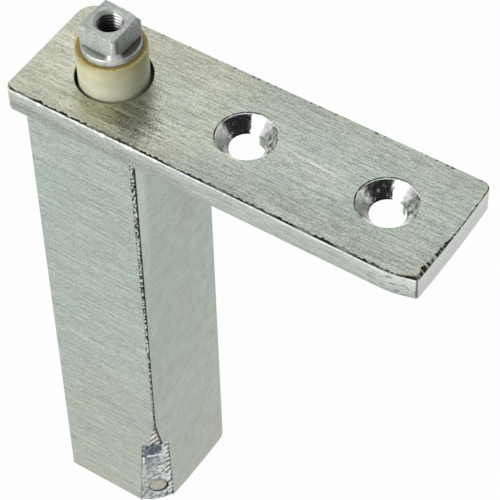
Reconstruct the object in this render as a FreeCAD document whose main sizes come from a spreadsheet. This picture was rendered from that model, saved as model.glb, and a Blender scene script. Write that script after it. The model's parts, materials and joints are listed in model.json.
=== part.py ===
import FreeCAD, Part
import math
import os

import Sketcher
from FreeCAD import Placement, Rotation, Vector

# Spring hinge for a cabinet door. A square barrel hangs under a mounting plate, and a sprung spindle
# stands up through the plate in a nylon bush.
# Frame: the pivot axis is Z, the plate's top face is Z = 0, and the plate runs out along +X.

# Driving sizes in millimetres and degrees: name, value and what it measures
SIZES = [
    ("plate_length", 103.76, "mounting plate, end to end"),
    ("plate_width", 31.75, "mounting plate, front to back"),
    ("plate_thick", 6.35, "mounting plate"),
    ("plate_overhang", 18.26, "pivot axis to the plate's short end"),
    ("end_crown", 0.35, "how far the free end bows out"),
    ("dub_length", 6.0, "front edge that is dubbed off at the free end"),
    ("dub_depth", 1.5, "how far the front edge is dubbed off"),
    ("dub_blend", 25.0, "plan radius where the dubbed edge starts"),
    ("short_front_corner", 2.2, "plan radius of the front corner at the short end"),
    ("short_back_corner", 4.6, "plan radius of the back corner at the short end"),
    ("free_front_corner", 0.8, "plan radius of the front corner at the free end"),
    ("free_back_corner", 2.0, "plan radius of the back corner at the free end"),
    ("top_edge_bevel", 0.3, "bevel along the plate's top edge"),
    ("under_edge_round", 1.6, "radius along the plate's lower edge"),
    ("screw_margin", 16.08, "free end to the nearest screw"),
    ("screw_pitch", 34.925, "between the two screws"),
    ("screw_hole_dia", 8.0, "screw hole"),
    ("sink_dia", 13.6, "countersink at the plate's face"),
    ("sink_angle", 82.0, "countersink, included angle"),
    ("sink_land", 0.3, "straight rim above the countersink"),
    ("housing_side", 28.575, "square barrel, across its flats"),
    ("housing_length", 134.9, "square barrel"),
    ("housing_edge", 0.6, "radius of the barrel's long edges"),
    ("housing_end_ease", 0.4, "chamfer round the barrel's lower end"),
    ("foot_lead", 2.2, "radius of the barrel's lower back edge"),
    ("spring_bore", 20.64, "barrel's main bore"),
    ("bush_seat_depth", 25.4, "depth of the bush in the barrel"),
    ("flat_depth", 4.0, "corner flat, measured in from the sharp corner"),
    ("flat_height", 25.2, "level part of the corner flat"),
    ("cutter_radius", 2.4, "hollow at the top of the corner flat"),
    ("ramp_depth", 1.75, "where the hollow meets the tapered run-out"),
    ("ramp_top", 38.8, "barrel's lower end to the tip of the run-out"),
    ("pin_dia", 4.76, "cross pin"),
    ("pin_height", 6.15, "barrel's lower end to the cross pin"),
    ("pin_reach", 8.15, "cross pin past the pivot axis"),
    ("pin_recess", 0.35, "cross pin below the corner flat"),
    ("pin_chamfer", 0.35, "cross pin's ends"),
    ("bush_wall", 1.14, "wall of the nylon bush"),
    ("bush_rise", 9.0, "bush above the plate"),
    ("bush_bevel", 0.3, "bevel of the bush's upper rim"),
    ("bush_ring_gap", 0.75, "open ring between the bush and the plate"),
    ("journal_dia", 13.5, "spindle in its bush"),
    ("collar_top", 10.6, "plate to the ledge under the square head"),
    ("head_top", 16.1, "plate to the top of the square head"),
    ("head_size", 9.525, "square head, across its flats"),
    ("head_corner_dia", 13.0, "circle that the head's corners are turned to"),
    ("head_turn", -2.9, "angle at which the head comes to rest"),
    ("head_edge", 0.25, "chamfer round the top of the head"),
    ("thread_dia", 6.35, "tapped hole, major diameter"),
    ("thread_depth", 19.05, "tapped hole"),
    ("thread_lead", 0.325, "chamfer at the mouth of the tapped hole"),
    ("drill_angle", 118.0, "point of the drilled hole"),
    ("flange_thick", 7.0, "spindle's flange"),
    ("turned_edge", 0.5, "chamfers on turned pieces"),
    ("washer_thick", 1.0, "thrust washer"),
    ("plug_length", 20.0, "anchor plug"),
    ("plug_recess", 0.6, "anchor plug inside the barrel's lower end"),
    ("cup_depth", 10.0, "thrust cup"),
    ("cup_wall", 0.8, "wall of the thrust cup"),
    ("cup_floor", 1.5, "floor of the thrust cup"),
    ("wire_side", 2.6, "square spring wire"),
    ("bore_play", 2.6, "between the coil and the barrel's bore"),
    ("spring_play", 1.1, "between the coil and the arbor, for the spring to tighten"),
    ("coil_gap", 2.4, "least gap between turns, for what it gains as it winds up"),
    ("tang_bend", 4.4, "bend radius of the spring's tangs"),
    ("tang_length", 4.5, "straight end of a tang in its slot"),
    ("running_gap", 0.05, "radial clearance of what turns or slides in"),
    ("seat_gap", 0.02, "radial clearance of what is pressed in"),
    ("free_gap", 0.3, "clearance where nothing bears"),
    ("end_float", 0.1, "axial play of the spindle"),
]

# Sizes and heights that follow from the driving sizes
DERIVED = [
    ("free_end", "sizes.plate_length - sizes.plate_overhang"),
    ("crown_start", "derived.free_end - sizes.end_crown"),
    ("crown_radius", "(sizes.plate_width ^ 2 / 4 + sizes.end_crown ^ 2) / (2 * sizes.end_crown)"),
    ("dub_side", "sizes.plate_width / 2 - sizes.dub_depth"),
    ("crown_centre", "derived.free_end - derived.crown_radius"),
    ("dub_end", "derived.crown_centre + sqrt(derived.crown_radius ^ 2 - derived.dub_side ^ 2)"),
    ("last_screw", "derived.free_end - sizes.screw_margin"),
    ("sink_slope", "(sizes.sink_dia - sizes.screw_hole_dia) / 2 / tan(sizes.sink_angle / 2)"),
    ("sink_floor", "-sizes.sink_land - derived.sink_slope"),
    ("bush_bore", "sizes.journal_dia + 2 * sizes.running_gap"),
    ("bush_dia", "derived.bush_bore + 2 * sizes.bush_wall"),
    ("bush_length", "sizes.bush_rise + sizes.plate_thick + sizes.bush_seat_depth"),
    ("step_level", "-sizes.plate_thick - sizes.bush_seat_depth"),
    ("housing_foot", "-sizes.plate_thick - sizes.housing_length"),
    ("corner_reach", "sizes.housing_side / sqrt(2)"),
    ("flat_reach", "derived.corner_reach - sizes.flat_depth"),
    ("hollow_reach", "derived.corner_reach - sizes.ramp_depth"),
    ("flange_dia", "sizes.spring_bore - 2 * sizes.free_gap"),
    ("flange_top", "derived.step_level - sizes.washer_thick - sizes.end_float"),
    ("flange_under", "derived.flange_top - sizes.flange_thick"),
    ("plug_dia", "sizes.spring_bore - 2 * sizes.running_gap"),
    ("plug_foot", "derived.housing_foot + sizes.plug_recess"),
    ("plug_top", "derived.plug_foot + sizes.plug_length"),
    ("pin_level", "derived.housing_foot + sizes.pin_height"),
    ("pin_length", "derived.flat_reach - sizes.pin_recess + sizes.pin_reach"),
    ("coil_radius", "(sizes.spring_bore - sizes.wire_side) / 2 - sizes.bore_play"),
    ("arbor_dia", "2 * (derived.coil_radius - sizes.spring_play) - sizes.wire_side"),
    ("cup_bore", "derived.arbor_dia + 2 * sizes.running_gap"),
    ("cup_dia", "derived.cup_bore + 2 * sizes.cup_wall"),
    ("cup_foot", "derived.plug_top - sizes.cup_depth"),
    ("arbor_end", "derived.cup_foot + sizes.cup_floor + sizes.end_float"),
    ("tang_drop", "sizes.tang_bend + sizes.free_gap"),
    ("coil_room", "derived.flange_under - derived.plug_top - 2 * derived.tang_drop"),
    ("coil_turns", "floor(derived.coil_room / (sizes.wire_side + sizes.coil_gap))"),
    ("coil_pitch", "derived.coil_room / derived.coil_turns"),
    ("slot_half", "sizes.wire_side / 2 + sizes.free_gap"),
    ("slot_start", "derived.coil_radius - derived.slot_half"),
    ("slot_depth", "sizes.tang_length + sizes.free_gap"),
    ("tip_depth", "sizes.thread_dia / 2 / tan(sizes.drill_angle / 2)"),
]

# Room that a cutting profile reaches past the corner it takes off
CUT_MARGIN = 2.0
# The cross pin and its flat look out over the corner between the front and the free end
CORNER_TURN = 45.0
FULL_TURN = 360.0
QUARTER_TURN = 90.0
TOUCH = 1e-4

doc = FreeCAD.newDocument("spring_hinge")
sizes = doc.addObject("Spreadsheet::Sheet", "sizes")
derived = doc.addObject("Spreadsheet::Sheet", "derived")


def fill_sheets():
    """Write the driving sizes as plain numbers and the derived ones as formulas."""
    for row, (name, number, meaning) in enumerate(SIZES, start=1):
        sizes.set(f"A{row}", meaning)
        sizes.set(f"B{row}", str(number))
        sizes.setAlias(f"B{row}", name)
    doc.recompute()
    for row, (name, formula) in enumerate(DERIVED, start=1):
        derived.set(f"A{row}", "=" + formula.replace("derived.", ""))
        derived.setAlias(f"A{row}", name)
        doc.recompute()


def value(formula):
    """Number that a formula of the two sheets has now."""
    return float(sizes.evalExpression(formula))


def bind(feature, **formulas):
    """Tie a feature's sizes to formulas of the two sheets."""
    for name, formula in formulas.items():
        feature.setExpression(name, formula)


def new_body(name):
    """Body for one sub-part, labelled with the name of its node."""
    body = doc.addObject("PartDesign::Body", name)
    body.Label = name
    return body


def origin_part(body, role):
    """One of the body's own origin planes or axes."""
    return next(item for item in body.Origin.OriginFeatures if item.Role == role)


def new_sketch(body, name, plane, level="0", turn=None):
    """Sketch on an origin plane, lifted along the plane's normal and turned about one of its axes."""
    sketch = body.newObject("Sketcher::SketchObject", name)
    sketch.AttachmentSupport = [(origin_part(body, plane), "")]
    sketch.MapMode = "FlatFace"
    rotation = Rotation()
    if turn:
        axis, angle = turn
        rotation = Rotation(axis, angle)
    sketch.AttachmentOffset = Placement(Vector(), rotation)
    sketch.setExpression("AttachmentOffset.Base.z", level)
    return sketch


def tie_point(sketch, curve, end, across, along):
    """Dimension one point of a curve from the sketch's origin."""
    for kind, axis, formula in (("DistanceX", -2, across), ("DistanceY", -1, along)):
        if formula == "0":
            sketch.addConstraint(Sketcher.Constraint("PointOnObject", curve, end, axis))
            continue
        number = value(formula)
        index = sketch.addConstraint(Sketcher.Constraint(kind, -1, 1, curve, end, number))
        sketch.setExpression(f"Constraints[{index}]", formula)


def points_of(corners):
    """Sketch points of pairs of formulas, across and along."""
    return [Vector(value(across), value(along), 0) for across, along in corners]


def draw_outline(sketch, corners):
    """Closed outline of straight lines; each corner is a pair of formulas, across and along."""
    points = points_of(corners)
    count = len(points)
    first = sketch.GeometryCount
    for index in range(count):
        sketch.addGeometry(Part.LineSegment(points[index], points[(index + 1) % count]))
    for index in range(count):
        after = first + (index + 1) % count
        sketch.addConstraint(Sketcher.Constraint("Coincident", first + index, 2, after, 1))
    for index, (across, along) in enumerate(corners):
        tie_point(sketch, first + index, 1, across, along)


def draw_chain(sketch, corners):
    """Open chain of straight lines, the first ones of a sketch; each corner is a pair of formulas."""
    points = points_of(corners)
    last_line = len(points) - 2
    for index, (start, end) in enumerate(zip(points, points[1:])):
        sketch.addGeometry(Part.LineSegment(start, end))
        if index:
            sketch.addConstraint(Sketcher.Constraint("Coincident", index - 1, 2, index, 1))
        tie_point(sketch, index, 1, *corners[index])
    tie_point(sketch, last_line, 2, *corners[-1])
    return last_line


def close_with_arc(sketch, last_line, arc, radius):
    """Close a chain of lines with an arc, whose radius is a formula."""
    curve = sketch.addGeometry(arc)
    sketch.addConstraint(Sketcher.Constraint("Coincident", last_line, 2, curve, 1))
    sketch.addConstraint(Sketcher.Constraint("Coincident", curve, 2, 0, 1))
    index = sketch.addConstraint(Sketcher.Constraint("Radius", curve, value(radius)))
    sketch.setExpression(f"Constraints[{index}]", radius)


def draw_square(sketch, across, along, side):
    """Square about a centre, with its sides along the sketch's axes."""
    left, right = f"{across} - {side} / 2", f"{across} + {side} / 2"
    under, over = f"{along} - {side} / 2", f"{along} + {side} / 2"
    draw_outline(sketch, [(left, under), (right, under), (right, over), (left, over)])


def draw_circle(sketch, across, along, diameter):
    """Circle with its centre dimensioned from the sketch's origin."""
    centre = Vector(value(across), value(along), 0)
    radius = value(diameter) / 2
    curve = sketch.addGeometry(Part.Circle(centre, Vector(0, 0, 1), radius))
    tie_point(sketch, curve, 3, across, along)
    index = sketch.addConstraint(Sketcher.Constraint("Diameter", curve, 2 * radius))
    sketch.setExpression(f"Constraints[{index}]", diameter)


def draw_axis(sketch, start, end):
    """Construction line that a revolved feature turns about."""
    curve = sketch.addGeometry(Part.LineSegment(*points_of([start, end])), True)
    tie_point(sketch, curve, 1, *start)
    tie_point(sketch, curve, 2, *end)


def add_pad(body, sketch, length, down=False):
    """Pad of a sketch, up along its normal or down against it."""
    pad = body.newObject("PartDesign::Pad", sketch.Name + "_pad")
    pad.Profile = sketch
    pad.Reversed = down
    bind(pad, Length=length)
    doc.recompute()


def add_pocket(body, sketch, length=None, up=False, both=False):
    """Cut a sketch's outline out of the body, to a depth or right through; it has to take something."""
    before = body.Shape.Volume
    pocket = body.newObject("PartDesign::Pocket", sketch.Name + "_cut")
    pocket.Profile = sketch
    pocket.Reversed = up
    if both:
        pocket.SideType = "Symmetric"
    if length:
        bind(pocket, Length=length)
    else:
        pocket.Type = "ThroughAll"
    doc.recompute()
    expect_less(body, before, pocket.Name)


def add_turned(body, sketch, axis="V_Axis", angle=FULL_TURN):
    """Revolve a sketch about one of its axes."""
    turned = body.newObject("PartDesign::Revolution", sketch.Name + "_turned")
    turned.Profile = sketch
    turned.ReferenceAxis = (sketch, [axis])
    turned.Angle = angle
    doc.recompute()


def add_groove(body, sketch, axis="V_Axis"):
    """Cut a full turn of a sketch out of the body; the cut has to take something."""
    before = body.Shape.Volume
    groove = body.newObject("PartDesign::Groove", sketch.Name + "_cut")
    groove.Profile = sketch
    groove.ReferenceAxis = (sketch, [axis])
    groove.Angle = FULL_TURN
    doc.recompute()
    expect_less(body, before, groove.Name)
    return groove


def expect_less(body, before, name):
    """A cut that points away from the solid takes nothing off it and is an error."""
    if body.Shape.Volume > before - TOUCH:
        raise RuntimeError(f"{name} cut nothing out of {body.Label}")


def edges_where(shape, test):
    """Names of the edges that pass a test."""
    return [f"Edge{index}" for index, edge in enumerate(shape.Edges, start=1) if test(edge)]


def ends_at(edge, level):
    """Whether every end of an edge lies at a height in the body's own frame."""
    return all(abs(vertex.Z - level) < TOUCH for vertex in edge.Vertexes)


def is_upright(edge):
    """Whether an edge is a straight line along Z."""
    ends = edge.Vertexes
    if len(ends) < 2:
        return False
    return math.hypot(ends[0].X - ends[1].X, ends[0].Y - ends[1].Y) < TOUCH


def stands_at(edge, across, along):
    """Whether an edge is a straight line along Z over a place, which is two formulas."""
    centre = edge.CenterOfMass
    return is_upright(edge) and math.hypot(centre.x - value(across), centre.y - value(along)) < TOUCH


def is_ring(edge, level, diameter):
    """Whether an edge is a full circle about Z of a given diameter at a height."""
    curve = edge.Curve
    if not isinstance(curve, Part.Circle) or not ends_at(edge, level):
        return False
    return abs(2 * curve.Radius - diameter) < TOUCH


def dress(body, kind, name, test, **formulas):
    """Fillet or chamfer the edges of the body's last feature that pass a test."""
    base = body.Tip
    edges = edges_where(base.Shape, test)
    if not edges:
        raise RuntimeError(f"{name} found no edge on {body.Label}")
    feature = body.newObject("PartDesign::" + kind, name)
    feature.Base = (base, edges)
    bind(feature, **formulas)
    doc.recompute()


def make_mounting_plate():
    """Flat plate with eased edges, a bowed free end, a hole for the bush and two countersunk holes."""
    body = new_body("mounting_plate")
    half_width = "sizes.plate_width / 2"
    short_end = "-sizes.plate_overhang"
    corners = {
        "free_back_corner": ("derived.crown_start", half_width),
        "short_back_corner": (short_end, half_width),
        "short_front_corner": (short_end, "-" + half_width),
        "dub_blend": ("derived.free_end - sizes.dub_length", "-" + half_width),
        "free_front_corner": ("derived.dub_end", "-derived.dub_side"),
    }
    outline = new_sketch(body, "plate_outline", "XY_Plane")
    last_line = draw_chain(outline, list(corners.values()))
    crown_ends = corners["free_front_corner"], corners["free_back_corner"]
    crown_points = points_of([crown_ends[0], ("derived.free_end", "0"), crown_ends[1]])
    close_with_arc(outline, last_line, Part.Arc(*crown_points), "derived.crown_radius")
    add_pad(body, outline, "sizes.plate_thick", down=True)

    for size, place in corners.items():
        dress(body, "Fillet", "plate_" + size, lambda edge: stands_at(edge, *place), Radius="sizes." + size)
    dress(body, "Fillet", "plate_under_edge",
          lambda edge: ends_at(edge, -value("sizes.plate_thick")), Radius="sizes.under_edge_round")
    dress(body, "Chamfer", "plate_top_edge",
          lambda edge: ends_at(edge, 0.0), Size="sizes.top_edge_bevel")

    bush_hole = new_sketch(body, "bush_hole", "XY_Plane")
    draw_circle(bush_hole, "0", "0", "derived.bush_dia + 2 * sizes.bush_ring_gap")
    add_pocket(body, bush_hole)

    screw_hole = new_sketch(body, "screw_hole", "XZ_Plane")
    rim = "derived.last_screw + sizes.sink_dia / 2"
    wall = "derived.last_screw + sizes.screw_hole_dia / 2"
    draw_outline(screw_hole, [
        ("derived.last_screw", "0"),
        (rim, "0"),
        (rim, "-sizes.sink_land"),
        (wall, "derived.sink_floor"),
        (wall, "-sizes.plate_thick"),
        ("derived.last_screw", "-sizes.plate_thick"),
    ])
    draw_axis(screw_hole, ("derived.last_screw", "0"), ("derived.last_screw", "-sizes.plate_thick"))
    groove = add_groove(body, screw_hole, "Axis0")
    screws = body.newObject("PartDesign::LinearPattern", "screw_holes")
    screws.Originals = [groove]
    screws.Direction = (origin_part(body, "X_Axis"), [""])
    screws.Reversed = True
    screws.Occurrences = 2
    bind(screws, Length="sizes.screw_pitch")
    before = body.Shape.Volume
    body.Tip = screws
    doc.recompute()
    expect_less(body, before, screws.Name)
    return body


def make_housing():
    """Square barrel with a stepped bore, and a flat milled on one corner for the cross pin."""
    body = new_body("housing")
    bind(body, **{"Placement.Base.z": "-sizes.plate_thick"})
    section = new_sketch(body, "housing_section", "XY_Plane")
    draw_square(section, "0", "0", "sizes.housing_side")
    add_pad(body, section, "sizes.housing_length", down=True)
    dress(body, "Fillet", "housing_long_edges", is_upright, Radius="sizes.housing_edge")
    dress(body, "Chamfer", "housing_lower_edges",
          lambda edge: ends_at(edge, -value("sizes.housing_length")), Size="sizes.housing_end_ease")

    bush_seat = new_sketch(body, "bush_seat", "XY_Plane")
    draw_circle(bush_seat, "0", "0", "derived.bush_dia + 2 * sizes.seat_gap")
    add_pocket(body, bush_seat, "sizes.bush_seat_depth")
    spring_bore = new_sketch(body, "spring_bore", "XY_Plane", level="-sizes.bush_seat_depth")
    draw_circle(spring_bore, "0", "0", "sizes.spring_bore")
    add_pocket(body, spring_bore)

    round_foot(body)
    cut_corner_flat(body)
    pin_hole = new_sketch(body, "pin_hole", "XZ_Plane", turn=(Vector(0, 1, 0), CORNER_TURN))
    level = "sizes.pin_height - sizes.housing_length"
    draw_circle(pin_hole, "0", level, "sizes.pin_dia + 2 * sizes.seat_gap")
    add_pocket(body, pin_hole, up=True)
    return body


def round_foot(body):
    """Round the lower back edge, which goes into the cabinet's frame first."""
    profile = new_sketch(body, "foot_lead", "YZ_Plane")
    back, foot = "sizes.housing_side / 2", "-sizes.housing_length"
    inner, over = f"{back} - sizes.foot_lead", f"{foot} + sizes.foot_lead"
    outside, under = f"{back} + {CUT_MARGIN}", f"{foot} - {CUT_MARGIN}"
    last_line = draw_chain(profile, [
        (back, over),
        (outside, over),
        (outside, under),
        (inner, under),
        (inner, foot),
    ])
    circle = Part.Circle(Vector(value(inner), value(over), 0), Vector(0, 0, 1), value("sizes.foot_lead"))
    close_with_arc(profile, last_line, Part.ArcOfCircle(circle, -math.pi / 2, 0), "sizes.foot_lead")
    add_pocket(body, profile, both=True)


def cut_corner_flat(body):
    """Mill the front corner: a level flat, the cutter's hollow above it and a tapered run-out."""
    profile = new_sketch(body, "corner_flat", "XZ_Plane", turn=(Vector(0, 1, 0), -CORNER_TURN))
    foot = "-sizes.housing_length"
    flat_top = "sizes.flat_height - sizes.housing_length"
    tip = "sizes.ramp_top - sizes.housing_length"
    outside = f"derived.corner_reach + {CUT_MARGIN}"
    sweep = math.acos(1 - value("sizes.flat_depth - sizes.ramp_depth") / value("sizes.cutter_radius"))
    centre = Vector(value("derived.flat_reach + sizes.cutter_radius"), value(flat_top), 0)
    circle = Part.Circle(centre, Vector(0, 0, 1), value("sizes.cutter_radius"))
    hollow = Part.ArcOfCircle(circle, math.pi - sweep, math.pi)
    hollow_end = hollow.StartPoint

    last_line = draw_chain(profile, [
        ("derived.corner_reach", tip),
        (outside, tip),
        (outside, foot),
        ("derived.flat_reach", foot),
        ("derived.flat_reach", flat_top),
    ])
    arc = profile.addGeometry(hollow)
    tip_point = Vector(value("derived.corner_reach"), value(tip), 0)
    ramp = profile.addGeometry(Part.LineSegment(hollow_end, tip_point))
    profile.addConstraint(Sketcher.Constraint("Tangent", last_line, 2, arc, 2))
    profile.addConstraint(Sketcher.Constraint("Coincident", arc, 1, ramp, 1))
    profile.addConstraint(Sketcher.Constraint("Coincident", ramp, 2, 0, 1))
    radius = profile.addConstraint(Sketcher.Constraint("Radius", arc, circle.Radius))
    profile.setExpression(f"Constraints[{radius}]", "sizes.cutter_radius")
    reach = profile.addConstraint(Sketcher.Constraint("DistanceX", -1, 1, arc, 1, hollow_end.x))
    profile.setExpression(f"Constraints[{reach}]", "derived.hollow_reach")
    add_pocket(body, profile, both=True)


def make_bushing():
    """Thin nylon bush, pressed into the barrel and standing up through the plate."""
    body = new_body("bushing")
    bind(body, **{"Placement.Base.z": "derived.step_level"})
    section = new_sketch(body, "bush_section", "XZ_Plane")
    bore = "derived.bush_bore / 2"
    outside = "derived.bush_dia / 2"
    draw_outline(section, [
        (bore, "0"),
        (outside, "0"),
        (outside, "derived.bush_length"),
        (bore, "derived.bush_length"),
    ])
    add_turned(body, section)
    dress(body, "Chamfer", "bush_rim",
          lambda edge: is_ring(edge, value("derived.bush_length"), value("derived.bush_dia")),
          Size="sizes.bush_bevel")
    return body


def make_spindle():
    """Turned spindle: square head with a tapped hole, journal, flange that drives the spring, and arbor."""
    body = new_body("spindle")
    arbor = "derived.arbor_dia / 2"
    flange = "derived.flange_dia / 2"
    journal = "sizes.journal_dia / 2"
    head = "sizes.head_corner_dia / 2"
    section = new_sketch(body, "spindle_section", "XZ_Plane")
    draw_outline(section, [
        ("0", "derived.arbor_end"),
        (arbor, "derived.arbor_end"),
        (arbor, "derived.flange_under"),
        (flange, "derived.flange_under"),
        (flange, "derived.flange_top"),
        (journal, "derived.flange_top"),
        (journal, "sizes.collar_top"),
        (head, "sizes.collar_top"),
        (head, "sizes.head_top"),
        ("0", "sizes.head_top"),
    ])
    add_turned(body, section)
    ends = [
        (value("derived.arbor_end"), value("derived.arbor_dia")),
        (value("derived.flange_under"), value("derived.flange_dia")),
    ]
    dress(body, "Chamfer", "spindle_edges",
          lambda edge: any(is_ring(edge, level, diameter) for level, diameter in ends),
          Size="sizes.turned_edge")

    turn = (Vector(0, 0, 1), value("sizes.head_turn"))
    flats = new_sketch(body, "head_flats", "XY_Plane", level="sizes.collar_top", turn=turn)
    flats.setExpression("AttachmentOffset.Rotation.Angle", "sizes.head_turn")
    draw_square(flats, "0", "0", "sizes.head_size")
    draw_circle(flats, "0", "0", "sizes.journal_dia + 2 * sizes.free_gap")
    add_pocket(body, flats, up=True)
    dress(body, "Chamfer", "head_top_edges",
          lambda edge: ends_at(edge, value("sizes.head_top")), Size="sizes.head_edge")

    tapped = new_sketch(body, "tapped_hole", "XZ_Plane")
    wall = "sizes.thread_dia / 2"
    mouth = wall + " + sizes.thread_lead"
    floor = "sizes.head_top - sizes.thread_depth"
    draw_outline(tapped, [
        ("0", "sizes.head_top"),
        (mouth, "sizes.head_top"),
        (wall, "sizes.head_top - sizes.thread_lead"),
        (wall, floor),
        ("0", f"{floor} - derived.tip_depth"),
    ])
    add_groove(body, tapped)

    cut_tang_slot(body, "upper_slot", "derived.flange_under", side=1)
    return body


def make_thrust_washer():
    """Flat washer between the step in the barrel and the spindle's flange."""
    body = new_body("thrust_washer")
    bind(body, **{"Placement.Base.z": "derived.step_level"})
    section = new_sketch(body, "washer_section", "XZ_Plane")
    inside = "sizes.journal_dia / 2 + sizes.free_gap"
    outside = "sizes.spring_bore / 2 - sizes.free_gap"
    draw_outline(section, [
        (inside, "-sizes.washer_thick"),
        (outside, "-sizes.washer_thick"),
        (outside, "0"),
        (inside, "0"),
    ])
    add_turned(body, section)
    return body


def make_torsion_spring():
    """Right-hand coil of square wire, with a tang bent along the axis at each end."""
    body = new_body("torsion_spring")
    bind(body, **{"Placement.Base.z": "derived.plug_top + derived.tang_drop"})
    wire = new_sketch(body, "coil_wire", "XZ_Plane")
    draw_square(wire, "derived.coil_radius", "0", "sizes.wire_side")
    coil = body.newObject("PartDesign::AdditiveHelix", "coil")
    coil.Profile = wire
    coil.ReferenceAxis = (wire, ["V_Axis"])
    coil.Mode = "pitch-turns-angle"
    bind(coil, Pitch="derived.coil_pitch", Turns="derived.coil_turns")
    doc.recompute()
    add_tang(body, "lower_tang", "0", side=-1)
    add_tang(body, "upper_tang", "derived.coil_room", side=1)
    return body


def add_tang(body, name, level, side):
    """Bend the wire's end from the coil to the axis and run it straight on; side is 1 up and -1 down."""
    axis_level = f"{level} + {side} * sizes.tang_bend"
    bend = new_sketch(body, name + "_bend", "XZ_Plane")
    draw_square(bend, "derived.coil_radius", level, "sizes.wire_side")
    draw_axis(bend, ("0", axis_level), ("derived.coil_radius", axis_level))
    add_turned(body, bend, "Axis0", QUARTER_TURN)
    straight = new_sketch(body, name + "_end", "XY_Plane", level=axis_level)
    draw_square(straight, "derived.coil_radius", f"{side} * sizes.tang_bend", "sizes.wire_side")
    add_pad(body, straight, "sizes.free_gap + sizes.tang_length", down=side < 0)


def make_anchor_plug():
    """Plug in the barrel's lower end, bored for the thrust cup, the cross pin and the spring's tang."""
    body = new_body("anchor_plug")
    section = new_sketch(body, "plug_section", "XZ_Plane")
    outside = "derived.plug_dia / 2"
    seat = "derived.cup_dia / 2 + sizes.seat_gap"
    draw_outline(section, [
        ("0", "derived.plug_foot"),
        (outside, "derived.plug_foot"),
        (outside, "derived.plug_top"),
        (seat, "derived.plug_top"),
        (seat, "derived.cup_foot"),
        ("0", "derived.cup_foot"),
    ])
    add_turned(body, section)
    rims = [value("derived.plug_foot"), value("derived.plug_top")]
    dress(body, "Chamfer", "plug_edges",
          lambda edge: any(is_ring(edge, level, value("derived.plug_dia")) for level in rims),
          Size="sizes.turned_edge")
    pin_hole = new_sketch(body, "plug_pin_hole", "XZ_Plane", turn=(Vector(0, 1, 0), CORNER_TURN))
    draw_circle(pin_hole, "0", "derived.pin_level", "sizes.pin_dia + 2 * sizes.seat_gap")
    add_pocket(body, pin_hole, both=True)
    cut_tang_slot(body, "lower_slot", "derived.plug_top", side=-1)
    return body


def cut_tang_slot(body, name, level, side):
    """Slot milled in from the rim for one of the spring's tangs; side is 1 to cut up and -1 down."""
    outside = f"sizes.spring_bore / 2 + {CUT_MARGIN}"
    near = f"{side} * sizes.tang_bend - derived.slot_half"
    far = f"{side} * sizes.tang_bend + derived.slot_half"
    slot = new_sketch(body, name, "XY_Plane", level=level)
    draw_outline(slot, [
        ("derived.slot_start", near),
        (outside, near),
        (outside, far),
        ("derived.slot_start", far),
    ])
    add_pocket(body, slot, "derived.slot_depth", up=side > 0)


def make_thrust_cup():
    """Nylon cup in the plug that guides the arbor and carries its end."""
    body = new_body("thrust_cup")
    section = new_sketch(body, "cup_section", "XZ_Plane")
    outside = "derived.cup_dia / 2"
    bore = "derived.cup_bore / 2"
    floor = "derived.cup_foot + sizes.cup_floor"
    draw_outline(section, [
        ("0", "derived.cup_foot"),
        (outside, "derived.cup_foot"),
        (outside, "derived.plug_top"),
        (bore, "derived.plug_top"),
        (bore, floor),
        ("0", floor),
    ])
    add_turned(body, section)
    return body


def make_anchor_pin():
    """Cross pin, driven in square to the corner flat, through the barrel's wall and the plug."""
    body = new_body("anchor_pin")
    corner = Rotation(Vector(0, 0, 1), -CORNER_TURN).multVec(Vector(1, 0, 0))
    body.Placement = Placement(Vector(), Rotation(Vector(0, 0, 1), corner))
    bind(body, **{
        "Placement.Base.x": f"-sizes.pin_reach * cos({CORNER_TURN})",
        "Placement.Base.y": f"sizes.pin_reach * sin({CORNER_TURN})",
        "Placement.Base.z": "derived.pin_level",
    })
    section = new_sketch(body, "pin_section", "XY_Plane")
    draw_circle(section, "0", "0", "sizes.pin_dia")
    add_pad(body, section, "derived.pin_length")
    ends = [0.0, value("derived.pin_length")]
    dress(body, "Chamfer", "pin_ends",
          lambda edge: any(is_ring(edge, level, value("sizes.pin_dia")) for level in ends),
          Size="sizes.pin_chamfer")
    return body


def check_document(bodies):
    """Stop if a feature failed, or if a sub-part isn't one valid solid."""
    for item in doc.Objects:
        if "Invalid" in item.State or "Error" in item.State:
            raise RuntimeError(f"{item.Name} did not build")
    for body in bodies:
        shape = body.Shape
        if shape.isNull() or not shape.isValid() or len(shape.Solids) != 1:
            raise RuntimeError(f"{body.Label} is not one valid solid")


def main():
    """Build every sub-part, check the document and write one file for each."""
    fill_sheets()
    bodies = [
        make_mounting_plate(),
        make_housing(),
        make_bushing(),
        make_spindle(),
        make_thrust_washer(),
        make_torsion_spring(),
        make_anchor_plug(),
        make_thrust_cup(),
        make_anchor_pin(),
    ]
    doc.recompute()
    check_document(bodies)
    os.makedirs("parts", exist_ok=True)
    for body in bodies:
        body.Shape.exportStep(f"parts/{body.Label}.step")


main()
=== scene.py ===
"""Looks of a cartridge spring hinge, laid out as a Blender add-on and run as a script.

Each operator makes one piece round the packed CAD model, which is the fixed frame, and the last one
makes the studio. Shapes are worked out in millimetres and made in metres.
"""

import json
import math

import bmesh
import bpy
from bpy.props import FloatProperty, FloatVectorProperty, PointerProperty
from mathutils import Matrix, Vector, geometry, noise


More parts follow.
